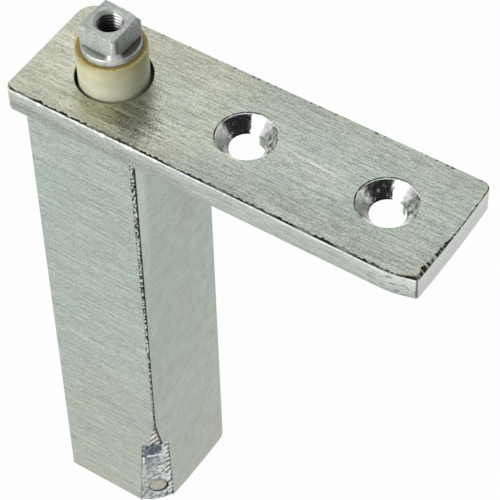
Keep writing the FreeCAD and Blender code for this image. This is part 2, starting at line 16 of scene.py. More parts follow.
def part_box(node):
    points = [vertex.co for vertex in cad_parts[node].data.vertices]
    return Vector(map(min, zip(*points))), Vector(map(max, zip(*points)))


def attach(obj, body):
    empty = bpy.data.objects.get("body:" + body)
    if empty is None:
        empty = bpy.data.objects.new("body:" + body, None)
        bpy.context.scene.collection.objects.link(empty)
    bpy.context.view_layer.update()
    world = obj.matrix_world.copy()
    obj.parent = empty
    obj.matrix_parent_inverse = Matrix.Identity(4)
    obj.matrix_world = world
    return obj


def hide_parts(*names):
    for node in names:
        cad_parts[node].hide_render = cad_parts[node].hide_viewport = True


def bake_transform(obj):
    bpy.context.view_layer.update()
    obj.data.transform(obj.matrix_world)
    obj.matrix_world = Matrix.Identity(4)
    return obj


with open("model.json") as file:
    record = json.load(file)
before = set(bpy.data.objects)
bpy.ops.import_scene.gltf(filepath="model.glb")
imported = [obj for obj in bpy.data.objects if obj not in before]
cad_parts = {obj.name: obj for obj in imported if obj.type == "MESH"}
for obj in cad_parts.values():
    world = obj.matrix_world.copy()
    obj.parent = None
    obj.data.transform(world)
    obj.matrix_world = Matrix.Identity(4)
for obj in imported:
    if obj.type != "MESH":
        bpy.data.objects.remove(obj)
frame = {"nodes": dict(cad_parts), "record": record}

bl_info = {
    "name": "Spring Hinge",
    "version": (1, 0, 0),
    "blender": (4, 5, 0),
    "location": "View3D > Sidebar > Hinge",
    "description": "Makes the looks of a cartridge spring hinge round its packed CAD model",
    "category": "Object",
}

MM = 0.001
ROOT_2 = math.sqrt(2)
RIGHT, BACK, UP = (1.0, 0.0, 0.0), (0.0, 1.0, 0.0), (0.0, 0.0, 1.0)
# Way out of the barrel's front corner, and points round the cross pin and its hole
CORNER_OUT = Vector((1.0, -1.0, 0.0)).normalized()
PIN_POINTS = 96
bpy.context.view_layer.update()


def box_mm(node):
    """Lowest and highest corner of a CAD node at rest, in millimetres."""
    return [Vector(corner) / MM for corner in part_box(node)]


plate_low, plate_high = box_mm("mounting_plate")
barrel_low, barrel_high = box_mm("housing")
bush_low, bush_high = box_mm("bushing")
spindle_low, spindle_high = box_mm("spindle")
washer_low, _ = box_mm("thrust_washer")
pin_low, pin_high = box_mm("anchor_pin")
mounts = {mount["name"]: mount for mount in frame["record"]["mounts"]}
screw_dims = mounts["plate_screws"]["dims"]
thread_dims = mounts["spindle_thread"]["dims"]
screw_middle = mounts["plate_screws"]["pos_m"][0] / MM
plate_thick = plate_high.z - plate_low.z


def length(name, description, millimetres):
    """A length that the user may change, held in metres."""
    return FloatProperty(
        name=name, description=description, default=millimetres * MM, unit="LENGTH", precision=5)


def angle(name, description, degrees):
    """An angle that the user may change, held in radians."""
    return FloatProperty(name=name, description=description, default=math.radians(degrees), unit="ROTATION")


def colour(name, description, red, green, blue):
    """A colour that the user may change."""
    return FloatVectorProperty(
        name=name, description=description, default=(red, green, blue), subtype="COLOR", min=0.0, max=1.0)


class PlateLooks(bpy.types.PropertyGroup):
    """Sizes and colours of the mounting plate"""

    end_crown: length("End crown", "How far the free end bows out", 0.35)
    dub_length: length("Dub length", "How far the front edge is dubbed off before the free end", 6.0)
    dub_depth: length("Dub depth", "How far the front edge is dubbed off at the free end", 1.5)
    dub_blend: length("Dub blend", "Radius at which the dubbed edge begins", 25.0)
    free_front: length("Free front corner", "Radius of the front corner at the free end", 0.8)
    free_back: length("Free back corner", "Radius of the back corner at the free end", 2.0)
    short_front: length("Short front corner", "Radius of the front corner beside the bush", 2.2)
    short_back: length("Short back corner", "Radius of the back corner beside the bush", 4.6)
    # The front bevel's brightness is a painted highlight, and the burrs' darkness is dirt and painted shade
    edge_bevel: length("Edge bevel", "Width of the bright bevel along the front edge", 0.25)
    edge_burr: length("Edge burr", "Width of the soiled burr along the front edge", 0.31)
    end_burr: length("End burr", "Width of the soiled burr at the free end's front corner", 0.95)
    under_round: length("Lower edge", "Radius of the lower edges", 0.35)
    sink_diameter: length("Countersink", "Diameter of the countersinks at the top face", 13.6)
    sink_land: length("Countersink land", "Depth of the upright rim of a countersink", 0.3)
    sink_angle: angle("Countersink angle", "Full angle of the countersinks", 82.0)
    bush_hole: length("Bush hole", "Diameter of the clearance hole round the bush", 17.38)
    cool: colour("Cool zinc", "Zinc plate towards the free end", 0.395, 0.450, 0.400)
    warm: colour("Warm zinc", "Zinc plate round the bush", 0.550, 0.560, 0.450)
    edged: colour("Edge zinc", "Zinc plate towards the long edges", 0.360, 0.360, 0.290)
    # Grease film in front of the bush, also used for a painted reflection of the bush
    grease_and_reflection: colour("Grime", "Grease film round the bush", 0.235, 0.205, 0.080)
    # Colour of dirt, also laid as painted shade and as a painted dark reflection of the bush
    soil: colour("Soil", "Dirt held by burrs and edges", 0.018, 0.016, 0.013)
    # Also the colour of painted highlights
    bright: colour("Bright edge", "Bare bright edge", 0.92, 0.93, 0.92)
    cut: colour("Cut metal", "Bare metal of the countersinks", 0.93, 0.96, 0.92)


class BarrelLooks(bpy.types.PropertyGroup):
    """Sizes and colours of the square barrel"""

    edge_round: length("Edges", "Radius of the long edges", 0.6)
    end_ease: length("End ease", "Bevel round the lower end", 0.4)
    foot_lead: length("Foot lead", "Radius of the lower back edge", 2.2)
    worn_edge: length("Worn edge", "Width of the worn front edge under the plate", 1.15)
    worn_tip: length("Worn tip", "Width of the worn front edge at the run-out", 0.4)
    flat_depth: length("Flat depth", "Depth of the corner flat", 4.0)
    flat_height: length("Flat height", "Height of the corner flat", 25.2)
    flat_bulge: length("Flat bulge", "How far the foot of the flat stands out", 0.35)
    foot_lift: length("Foot lift", "How far the right foot of the flat is ground off", 0.9)
    cutter_radius: length("Cutter radius", "Radius of the hollow above the flat", 2.4)
    ramp_depth: length("Ramp depth", "Depth where the hollow meets the run-out", 1.75)
    ramp_top: length("Ramp top", "Lower end to the tip of the run-out", 38.8)
    chatter: length("Chatter", "Depth of the cutter's chatter marks", 0.06)
    chatter_pitch: length("Chatter pitch", "Spacing of the cutter's chatter marks", 2.03)
    bore: length("Bore", "Diameter of the bore that holds the spring", 20.64)
    cool: colour("Cool zinc", "Zinc plate under the mounting plate", 0.422, 0.494, 0.447)
    warm: colour("Warm zinc", "Zinc plate towards the lower end", 0.440, 0.465, 0.393)
    milled: colour("Milled zinc", "Zinc plate on the corner flat", 0.470, 0.520, 0.500)
    # Painted shade from the mounting plate, high on the right side
    shaded: colour("Shaded zinc", "Zinc plate high on the right side", 0.385, 0.380, 0.300)
    # Painted blue reflection under the ledge of the flat
    blue_reflection: colour("Blued zinc", "Zinc plate under the ledge of the flat", 0.090, 0.128, 0.155)
    tan: colour("Tanned zinc", "Zinc plate on the run-out above the flat", 0.46, 0.42, 0.36)


class BushLooks(bpy.types.PropertyGroup):
    """Sizes and colours of the nylon bush"""

    bore: length("Bore", "Diameter of the bush's bore", 13.6)
    rim_bevel: length("Rim", "Bevel of the upper rim", 0.3)
    nylon: colour("Nylon", "Natural nylon", 0.82, 0.81, 0.61)
    aged: colour("Aged nylon", "Nylon yellowed towards the rim", 0.61, 0.56, 0.27)
    stain: colour("Stain", "Grease stain at the rim", 0.36, 0.255, 0.035)


class SpindleLooks(bpy.types.PropertyGroup):
    """Sizes and colours of the spindle"""

    journal: length("Journal", "Diameter that turns in the bush", 13.5)
    collar_top: length("Collar top", "Plate's top face to the foot of the square head", 10.6)
    head_size: length("Head size", "Square head across its flats", 9.525)
    head_corner: length("Head corners", "Diameter to which the square's corners are turned", 13.4)
    head_turn: angle("Head turn", "How far the square head is turned", -2.9)
    head_edge: length("Head edge", "Bevel round the top of the head", 0.25)
    head_wear: length("Head wear", "How far the head's right corner is worn down", 0.7)
    head_flare: length("Head flare", "How far the front corner's run-out climbs", 0.9)
    thread_pitch: length("Thread pitch", "Rise of the tapped thread in one turn", 0.907)
    thread_core: length("Thread core", "Diameter of the tapped hole between its crests", 5.48)
    mouth: length("Mouth", "Diameter of the bevel at the mouth of the hole", 7.0)
    arbor: length("Arbor", "Diameter of the arbor inside the spring", 8.04)
    flange_thick: length("Flange", "Thickness of the flange that drives the spring", 7.0)
    slot_width: length("Slot width", "Width of the slot for the spring's tang", 3.2)
    slot_depth: length("Slot depth", "Depth of the slot for the spring's tang", 4.8)
    slot_start: length("Slot start", "Axis to the inner wall of the slot", 4.82)
    slot_side: length("Slot side", "Axis to the middle of the slot, square to its length", 4.4)
    steel: colour("Steel", "Matt zinc on the spindle", 0.525, 0.555, 0.525)


class PinLooks(bpy.types.PropertyGroup):
    """Sizes and colours of the cross pin and the inner pieces"""

    diameter: length("Diameter", "Diameter of the cross pin", 4.76)
    bevel: length("Bevel", "Bevel round the end of the pin", 0.35)
    steel: colour("Pin steel", "Turned steel of the pin and the plug", 0.60, 0.56, 0.48)
    spring: colour("Spring steel", "Oiled spring wire", 0.16, 0.16, 0.17)
    nylon: colour("Inner nylon", "Nylon of the washer and the cup", 0.66, 0.64, 0.52)
    tang: length("Tang", "Height of each of the spring's bent ends", 9.2)


class StudioLooks(bpy.types.PropertyGroup):
    """Camera and lamps"""

    eye: FloatVectorProperty(
        name="Eye", description="Where the camera stands", default=(0.22349, -0.27378, 0.35924),
        subtype="XYZ", unit="LENGTH", precision=5)
    aim: FloatVectorProperty(
        name="Aim", description="What the camera looks at", default=(0.03352, 0.00133, -0.03944),
        subtype="XYZ", unit="LENGTH", precision=5)
    roll: angle("Roll", "How far the camera is rolled", -1.738)
    lens: FloatProperty(
        name="Lens", description="Focal length on a 36 mm sensor", default=166.27, unit="CAMERA")
    key: FloatProperty(name="Key lamp", description="Power of the lamp in front", default=2.6, unit="POWER")
    fill: FloatProperty(name="Fill lamp", description="Power of the lamp overhead", default=0.5, unit="POWER")
    sky: FloatProperty(name="Sky", description="Strength of the light all round", default=0.5)


LOOKS = {
    "hinge_plate": PlateLooks,
    "hinge_barrel": BarrelLooks,
    "hinge_bush": BushLooks,
    "hinge_spindle": SpindleLooks,
    "hinge_pin": PinLooks,
    "hinge_studio": StudioLooks,
}


class Sizes:
    """The values of a group of looks, with its lengths in millimetres."""

    def __init__(self, group):
        for field in group.bl_rna.properties:
            if field.type == "FLOAT":
                value = getattr(group, field.identifier)
                setattr(self, field.identifier, value / MM if field.unit == "LENGTH" else value)


def ease(low, high, value):
    """0 below low, 1 above high and a smooth step between them."""
    share = share_of((value - low) / (high - low))
    return share * share * (3 - 2 * share)


def share_of(value):
    """A value kept between 0 and 1."""
    return max(0.0, min(1.0, value))


def grain(point, cell, shift=0.0):
    """A random value round 0 at a point, which changes over about one cell."""
    return noise.noise(Vector(point) / cell + Vector((shift, 1.7 * shift, 2.3 * shift)))


def steps(start, end, step):
    """Evenly spaced values from start towards end, which is left out."""
    count = max(1, math.ceil(abs(end - start) / step))
    return [start + (end - start) * index / count for index in range(count)]


def polar(radius, turn, height):
    """A point given by its distance and direction from the pivot axis."""
    return Vector((radius * math.cos(turn), radius * math.sin(turn), height))


def circle(radius, height, count, x=0.0):
    """Points round an upright axis."""
    return [Vector((x, 0.0, 0.0)) + polar(radius, math.tau * index / count, height) for index in range(count)]


class Skin:
    """A mesh being built in millimetres, with a soil and a shine value at each point."""

    def __init__(self):
        self.mesh = bmesh.new()
        self.soil = self.mesh.verts.layers.float.new("soil")
        self.shine = self.mesh.verts.layers.float.new("shine")

    def row(self, marks):
        """Add a closed row of points, each with its soil and its shine."""
        made = []
        for point, soil, shine in marks:
            corner = self.mesh.verts.new(point)
            corner[self.soil] = share_of(soil)
            corner[self.shine] = share_of(shine)
            made.append(corner)
        return made

    def turned(self, profile, count):
        """Rows of a turned shape; each step of its profile is a radius, a height and a soil value."""
        return [self.row([(point, soil, 0.0) for point in circle(radius, height, count)])
                for radius, height, soil in profile]

    def face(self, corners, finish, smooth=True):
        """Add one face."""
        face = self.mesh.faces.new(corners)
        face.material_index = finish
        face.smooth = smooth

    def wrap(self, rows, finish=0, patch=(0, 0), patch_finish=0):
        """Join each row to the next by faces; those of a patch of columns may have another finish."""
        for upper, lower in zip(rows, rows[1:]):
            for index in range(len(upper)):
                after = (index + 1) % len(upper)
                self.face((upper[index], lower[index], lower[after], upper[after]),
                          patch_finish if patch[0] <= index < patch[1] else finish)

    def cone(self, row, tip):
        """Close a row towards one point."""
        point = self.mesh.verts.new(tip)
        for index in range(len(row)):
            self.face((row[index - 1], row[index], point), 0)

    def level(self, rows):
        """Close a level face that the first row bounds and the other rows pierce."""
        corners, owners, edges = [], [], []
        for owner, row in enumerate(rows):
            start = len(corners)
            edges += [(start + index, start + (index + 1) % len(row)) for index in range(len(row))]
            corners += row
            owners += [owner] * len(row)
        inside, tolerance = 1, 1e-6
        places = [corner.co.xy for corner in corners]
        _, _, triangles, sources, _, _ = geometry.delaunay_2d_cdt(places, edges, [], inside, tolerance)
        for triangle in triangles:
            chosen = [sources[index][0] for index in triangle]
            held = {owners[index] for index in chosen}
            if len(held) > 1 or held == {0}:
                self.face([corners[index] for index in chosen], 0, smooth=False)

    def tool(self, name, rows, place=None):
        """Make a cutting tool of two level rows and the wall between them."""
        self.wrap(rows)
        for row in rows:
            self.level([row])
        return self.make(name, [], place)

    def make(self, name, finishes, place=None):
        """Turn the mesh into an object in metres."""
        if place:
            self.mesh.transform(place)
        if any(edge.is_boundary for edge in self.mesh.edges):
            raise RuntimeError(f"{name} is not closed")
        bmesh.ops.recalc_face_normals(self.mesh, faces=self.mesh.faces)
        if self.mesh.calc_volume(signed=True) < 0:
            bmesh.ops.reverse_faces(self.mesh, faces=self.mesh.faces)
        self.mesh.transform(Matrix.Scale(MM, 4))
        mesh = bpy.data.meshes.new(name)
        self.mesh.to_mesh(mesh)
        self.mesh.free()
        for finish in finishes:
            mesh.materials.append(finish)
        piece = bpy.data.objects.new(name, mesh)
        bpy.context.scene.collection.objects.link(piece)
        return piece


def cut_away(piece, tool):
    """Cut the tool's shape out of a piece and remove the tool."""
    before = len(piece.data.vertices)
    cut = piece.modifiers.new("cut", "BOOLEAN")
    cut.operation = "DIFFERENCE"
    cut.solver = "EXACT"
    cut.object = tool
    graph = bpy.context.evaluated_depsgraph_get()
    whole = piece.data
    piece.data = bpy.data.meshes.new_from_object(piece.evaluated_get(graph))
    piece.modifiers.clear()
    bpy.data.meshes.remove(whole)
    bpy.data.objects.remove(tool)
    if len(piece.data.vertices) == before:
        raise RuntimeError(f"nothing was cut out of {piece.name}")


def settle(piece, node, body, crease=32.0):
    """Finish a piece: crease its edges, and put it in the place of its CAD node."""
    piece.data.set_sharp_from_angle(angle=math.radians(crease))
    piece.data.name = piece.name
    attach(piece, body)
    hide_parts(node)


class Nodes:
    """A tree of shader nodes being built, with short ways to add and join them."""

    def __init__(self, tree):
        self.tree = tree

    def join(self, value, socket):
        """Feed a socket from another socket, or set its value."""
        if isinstance(value, bpy.types.NodeSocket):
            self.tree.links.new(value, socket)
        elif socket.type == "RGBA":
            socket.default_value = (*value[:3], 1.0)
        else:
            socket.default_value = value

    def node(self, kind, output, inputs, **settings):
        """Add a node, feed or set the inputs named, and give one of its outputs."""
        node = self.tree.nodes.new("ShaderNode" + kind)
        for name, value in settings.items():
            setattr(node, name, value)
        for name, value in inputs.items():
            self.join(value, node.inputs[name])
        return node.outputs[output]

    def place(self, kind="Object"):
        """The place on a piece in metres, or the way to the sky as Generated."""
        return self.node("TexCoord", kind, {})

    def ray(self, kind):
        """1 for rays of one kind and 0 for others."""
        return self.node("LightPath", f"Is {kind} Ray", {})

    def seen(self):
        """1 for rays that show the background: to the camera, off metal or through glass."""
        return self.work("MAXIMUM", *[self.ray(kind) for kind in ("Camera", "Glossy", "Transmission")])

    def vector(self, operation, first, second=(0.0, 0.0, 0.0), output="Value"):
        """Work out one vector node."""
        return self.node("VectorMath", output, {0: first, 1: second}, operation=operation)

    def grain(self, stretch, detail=3.0, rough=0.5, shift=0.0, twist=0.0):
        """Random values from 0 to 1; stretch is the cells in a millimetre along each axis."""
        spot = self.node("Mapping", "Vector", {
            "Vector": self.place(), "Scale": [cells / MM for cells in stretch],
            "Location": (shift, 0.7 * shift, 0.4 * shift), "Rotation": (twist, twist, 0.0)})
        return self.node("TexNoise", "Fac", {
            "Vector": spot, "Scale": 1.0, "Detail": detail, "Roughness": rough})

    def along(self, way):
        """How far the place on the piece lies in one direction, in metres."""
        return self.vector("DOT_PRODUCT", self.place(), way)

    def away(self):
        """How far the place on the piece lies from the pivot axis, in metres."""
        return self.vector("LENGTH", self.vector("MULTIPLY", self.place(), (1.0, 1.0, 0.0), "Vector"))

    def off(self, middle):
        """How far the place on the piece lies from a point given in millimetres, in metres."""
        return self.vector("DISTANCE", self.place(), [part * MM for part in middle])

    def held(self, name):
        """A value that the mesh holds at each point."""
        return self.node("Attribute", "Fac", {}, attribute_name=name)

    def span(self, value, low, high, start=0.0, end=1.0, **settings):
        """Stretch a range of values to another one, without going past its ends."""
        bounds = {"Value": value, "From Min": low, "From Max": high, "To Min": start, "To Max": end}
        return self.node("MapRange", "Result", bounds, **settings)

    def fade(self, value, low, high, start=0.0, end=1.0):
        """Stretch a range of distances in millimetres to a range of values."""
        return self.span(value, low * MM, high * MM, start, end)

    def work(self, operation, *values):
        """Work out one value from several, two at a time."""
        total = values[0]
        for value in values[1:]:
            total = self.node("Math", "Value", {0: total, 1: value}, operation=operation)
        return total

    def blend(self, share, first, second, way="MIX"):
        """Mix two colours; the numbers are those of the node's colour sockets."""
        return self.node("Mix", 2, {0: share, 6: first, 7: second}, data_type="RGBA", blend_type=way)

    def shade(self, tone, strength):
        """Brighten or darken a colour by a value round 1."""
        grey = self.node("CombineColor", "Color", dict.fromkeys(("Red", "Green", "Blue"), strength))
        return self.blend(1.0, tone, grey, "MULTIPLY")

    def show(self, kind, surface):
        """Lead a surface to the output of a material or a world."""
        self.join(surface, self.tree.nodes.new("ShaderNodeOutput" + kind).inputs["Surface"])


class Finish(Nodes):
    """A material being built."""

    def __init__(self, name):
        self.material = bpy.data.materials.new(name)
        self.material.use_nodes = True
        super().__init__(self.material.node_tree)
        self.surface = self.tree.nodes["Principled BSDF"]

    def set(self, **values):
        """Set or feed the surface's sockets, named with underscores for spaces."""
        for name, value in values.items():
            self.join(value, self.surface.inputs[name.replace("_", " ")])

    def worn(self, tone, plate):
        """Show the mesh's bright and soiled points."""
        tone = self.blend(self.held("shine"), tone, plate.bright)
        return self.blend(self.held("soil"), tone, plate.soil)

    def bump(self, height, strength, depth):
        """Small relief; depth is in millimetres."""
        self.set(Normal=self.node("Bump", "Normal", {
            "Strength": strength, "Distance": depth * MM, "Height": height}))


class Zinc(Finish):
    """Brushed zinc plate being built; lay is the brush marks' cells along each axis."""

    def __init__(self, name, looks, lay, drift):
        super().__init__(name)
        # Three widths of brush mark: share of the lay, detail, shift and strength
        coarse, plain, fine = (0.3, 0.0, 3.0, 0.35), (1.0, 1.0, 0.0, 0.4), (5.0, 2.0, 6.0, 0.75)
        lines = []
        for share, detail, shift, swing in (coarse, plain, fine):
            stretch = [cells if cells > 1 else share * cells for cells in lay]
            line = self.grain(stretch, detail, 0.55, shift, 0.03)
            lines.append(self.span(line, 0.2, 0.8, -swing, swing))
        self.marks = self.work("ADD", *lines)
        self.strokes = self.grain([0.22 * cells for cells in lay], detail=2.0, shift=3.0, twist=0.06)
        self.specks = self.grain((2.6, 2.6, 2.6), detail=2.0, shift=8.0)
        cloud = self.grain((0.07, 0.07, 0.07), detail=3.0, shift=5.0)
        way, low, high = drift
        warmth = self.work("ADD", self.fade(self.along(way), low, high, 0.0, 0.9),
                           self.span(cloud, 0.3, 0.7, -0.25, 0.35))
        self.tone = self.blend(warmth, looks.cool, looks.warm)

    def tint(self, share, tone):
        """Lay another colour over the zinc."""
        self.tone = self.blend(share, self.tone, tone)

    def stain(self, middle, wide, narrow, tone, share):
        """Lay a soft round stain over the zinc; its middle and radii are in millimetres."""
        edge = self.work("ADD", self.off(middle), self.span(self.strokes, 0.3, 0.7, -1.5 * MM, 1.5 * MM))
        self.tint(self.fade(edge, wide, narrow, 0.0, share), tone)

    def brush(self, contrast, level, plate):
        """Finish the surface with brush marks of a contrast round a level of brightness."""
        swing = self.work("ADD", self.span(self.marks, -0.6, 0.6, -1.2, 1.2),
                          self.span(self.strokes, 0.25, 0.75, -0.25, 0.25),
                          self.span(self.specks, 0.25, 0.75, -0.25, 0.25))
        strength = self.work("ADD", self.work("MULTIPLY", swing, contrast), level)
        tone = self.worn(self.shade(self.tone, strength), plate)
        self.set(Base_Color=tone, Metallic=self.span(self.held("shine"), 0.0, 1.0, 0.92, 0.4))
        self.set(Roughness=self.span(self.marks, -0.4, 0.4, 0.36, 0.27))
        self.bump(self.work("ADD", self.marks, self.specks), 0.3, 0.02)
        return self.material


def polished(plate):
    """Cut metal of the countersinks, with the cutter's fine rings and pits."""
    finish = Finish("countersink")
    specks = finish.grain((1.2, 1.2, 1.6), detail=4.0, rough=0.7)
    rings = finish.grain((0.2, 0.2, 6.0), detail=2.0, shift=2.0)
    tone = finish.shade(plate.cut, finish.span(specks, 0.35, 0.65, 0.88, 1.04))
    frost = finish.held("shine")
    finish.set(Base_Color=finish.worn(tone, plate), Metallic=finish.span(frost, 0.0, 1.0, 1.0, 0.3))
    finish.set(Roughness=finish.work("ADD", finish.span(specks, 0.3, 0.7, 0.08, 0.18),
                                     finish.span(frost, 0.0, 1.0, 0.0, 0.3)))
    finish.bump(finish.work("ADD", rings, specks), 0.3, 0.03)
    return finish.material


def turned_steel(looks, plate):
    """Plain turned steel."""
    finish = Finish("turned_steel")
    specks = finish.grain((1.2, 1.2, 1.2), detail=4.0, rough=0.7)
    tone = finish.shade(looks.steel, finish.span(specks, 0.3, 0.7, 0.8, 1.15))
    finish.set(Base_Color=finish.worn(tone, plate), Metallic=0.5, Roughness=0.5)
    finish.bump(specks, 0.2, 0.03)
    return finish.material


def plan(corners, step, depth):
    """Points round a level outline, each with its outward direction and its fellow point a depth further in.

    A corner is its two places and its radius.
    """
    arcs = []
    for index, (x, y, radius) in enumerate(corners):
        before, after = corners[index - 1], corners[(index + 1) % len(corners)]
        come = Vector((x - before[0], y - before[1], 0.0)).normalized()
        go = Vector((after[0] - x, after[1] - y, 0.0)).normalized()
        turn = come.angle(go)
        out = Vector((come.y, -come.x, 0.0))
        count = max(4, round(radius * turn / step))
        ways = [Matrix.Rotation(turn * part / count, 3, "Z") @ out for part in range(count + 1)]
        mitre = (ways[0] + ways[-1]) / (1 + math.cos(turn))
        tip, arc = Vector((x, y, 0.0)), []
        for place, bend in ((tip, radius), (tip - mitre * depth, max(0.05, radius - depth))):
            centre = place - come * bend * math.tan(turn / 2) - out * bend
            arc.append([centre + way * bend for way in ways])
        arcs.append(list(zip(arc[0], ways, arc[1])))
    outline = []
    for arc, after in zip(arcs, arcs[1:] + arcs[:1]):
        start, out, start_inside = arc[-1]
        end, _, end_inside = after[0]
        count = max(1, round((end - start).length / step))
        outline += arc
        for part in range(1, count):
            outline.append((start.lerp(end, part / count), out, start_inside.lerp(end_inside, part / count)))
    return outline


def quarter_round(radius, count):
    """Steps round an outer edge: how far each lies in from the side, and how far from the level face."""
    turns = [math.radians(90 * step / count) for step in range(count + 1)]
    return [(radius * (1 - math.cos(turn)), radius * (1 - math.sin(turn))) for turn in turns]


class HINGE_OT_mounting_plate(bpy.types.Operator):
    """Make the mounting plate with its burred edges and countersunk holes"""

    bl_idname = "hinge.mounting_plate"
    bl_label = "Mounting Plate"

    # Strip round the top face in which the worn edge is drawn, and the spacing of the points along it
    border = 2.8
    spacing = 0.2
    # Spacing of the steps down its side, steps round its lower edge, and those that show the side's marks
    side_step = 0.35
    round_steps, marked_steps = 8, 6
    # Points round a countersink and steps down it, its burred and frosted sides, and its painted dark
    # reflections all round
    sink_points, cone_steps = 180, 16
    far_side = Vector((-0.90, 0.43, 0.0))
    frosted_side = Vector((-0.85, -0.53, 0.0))
    dark_reflections = (0.48, 0.6, 0.5, 0.12, 0.1, 0.1, 0.3, 0.1, 0.6, 0.15, 0.0, 0.0)
    # Points round the bush's hole
    hole_points = 160

    def execute(self, context):
        looks = Sizes(context.scene.hinge_plate)
        bore = Finish("bright_bore")
        bore.set(Base_Color=(1.0, 1.0, 1.0), Metallic=1.0, Roughness=0.1)
        finishes = [self.finish(looks), polished(looks), bore.material]
        skin = Skin()
        edge = self.edge(skin, looks)
        reach = screw_dims["spacing_x_mm"] / 2
        sinks = [self.countersink(skin, screw_middle + side * reach, looks) for side in (-1, 1)]
        walls = [edge, self.bush_hole(skin, looks)] + sinks
        for end in (0, -1):
            skin.level([wall[end] for wall in walls])
        settle(skin.make("plate", finishes), "mounting_plate", "barrel")
        return {"FINISHED"}

    def finish(self, looks):
        """Zinc brushed along the plate, with a grease film in front of the bush."""
        finish = Zinc("zinc_plate", looks, (0.4, 3.0, 3.0), (RIGHT, 46.0, -6.0))
        off_middle = finish.work("ABSOLUTE", finish.along(BACK), 0.0)
        finish.tint(finish.fade(off_middle, 5.0, 14.0, 0.0, 0.33), looks.edged)
        # Painted shade, darker towards the front right
        front_right_shade = finish.fade(finish.along((0.25, -1.0, 0.0)), 14.0, 34.0)
        finish.tint(front_right_shade, finish.shade(finish.tone, 0.82))
        finish.tint(finish.fade(finish.along(UP), -0.4, -0.1, 0.75, 0.0), looks.cool)
        # Grease film in front of the bush, also standing in for a painted reflection of the bush, and a
        # painted dark reflection of the bush and head to its right
        finish.stain((3.0, -9.0, 0.0), 8.0, 3.0, looks.grease_and_reflection, 0.3)
        finish.stain((12.0, -9.5, 0.0), 7.5, 1.5, looks.soil, 0.42)
        across = finish.along((0.06, 1.0, 0.0))
        between = finish.fade(finish.off((51.0, 0.8, 0.0)), 9.0, 4.0, 0.0, 0.35)
        thin = finish.work("MULTIPLY", finish.fade(across, 3.4, 3.8), finish.fade(across, 4.4, 4.0))
        finish.tint(finish.work("MULTIPLY", thin, between), looks.bright)
        # Brush marks show stronger in the painted dark reflection right of the bush
        contrast = finish.fade(finish.off((12.5, -9.0, 0.0)), 10.0, 3.0, 0.29, 0.62)
        return finish.brush(contrast, 1.0, looks)

    def outline(self, looks):
        """Plan of the plate, with its dubbed front edge and bowed free end."""
        free, front, back, short = plate_high.x, plate_low.y, plate_high.y, plate_low.x
        outline = plan((
            (free, front + looks.dub_depth, looks.free_front),
            (free, back, looks.free_back),
            (short, back, looks.short_back),
            (short, front, looks.short_front),
            (free - looks.dub_length, front, looks.dub_blend),
        ), self.spacing, self.border)
        for point, _, inside in outline:
            bow = looks.end_crown * (point.y / back) ** 2 * ease(free - looks.dub_length, free, point.x)
            point.x -= bow
            inside.x -= bow
        return outline

    def edge(self, skin, looks):
        """Rim of the plate: soiled burr, bright bevel, side and rounded lower edge."""
        outline = self.outline(looks)
        profiles = [self.profile(point, out, looks) for point, out, _ in outline]
        rows = []
        for level in zip(*profiles):
            marks = []
            for (point, _, inside), (inset, drop, soil, shine) in zip(outline, level):
                place = point.lerp(inside, inset / self.border) - Vector((0, 0, drop))
                marks.append((place, soil, shine))
            rows.append(skin.row(marks))
        skin.wrap(rows)
        return rows

    def profile(self, point, out, looks):
        """Steps down the rim at one place on it: how far in, how far down, soil and shine."""
        # How far the rim faces each of the plate's four sides
        front, back = max(0.0, -out.y) ** 2, max(0.0, out.y) ** 2
        free, short = max(0.0, out.x) ** 2, max(0.0, -out.x) ** 2
        # Unevenness along the rim
        jag = grain(point, 1.1) + 0.5 * grain(point, 0.45, 4.0)
        rough = grain(point, 0.9, 21.0) + 0.6 * grain(point, 0.35, 25.0)
        patch = grain(point, 5.0, 9.0)
        blob = ease(0.25, 0.5, grain(point, 1.4, 7.0))
        speck = ease(0.1, 0.4, grain(point, 0.7, 13.0))
        fleck = ease(0.15, 0.5, grain(point, 0.45, 31.0) + 0.4 * rough)
        dash = 0.75 + 0.25 * ease(-0.15, 0.2, grain(point, 0.8, 17.0) + 0.6 * rough)
        near = ease(0.35, 0.97, (plate_high.y - point.y) / (plate_high.y - plate_low.y))
        # Widths of the burr and of the bevel, and how far the front edge is rolled down
        burr = (front * (looks.edge_burr * (1 + 1.2 * rough) + 0.18 * blob)
                + free * ((0.13 + looks.end_burr * near) * (1 + 0.4 * jag + 0.15 * rough) + 0.3 * blob)
                + back * (0.06 + 0.4 * speck) + 0.05 * short)
        width = (front * (1 + 0.9 * jag) * (1 - 0.45 * ease(12, 40, point.x))
                 + 0.15 * free + 0.6 * back + 0.9 * short)
        bevel = max(0.04, looks.edge_bevel * width)
        reach = min(self.border - 0.3, bevel + max(0.03, burr))
        sink = front * 0.3 * ease(35, 75, point.x)
        roll = sink + front * (0.16 + 0.12 * jag)
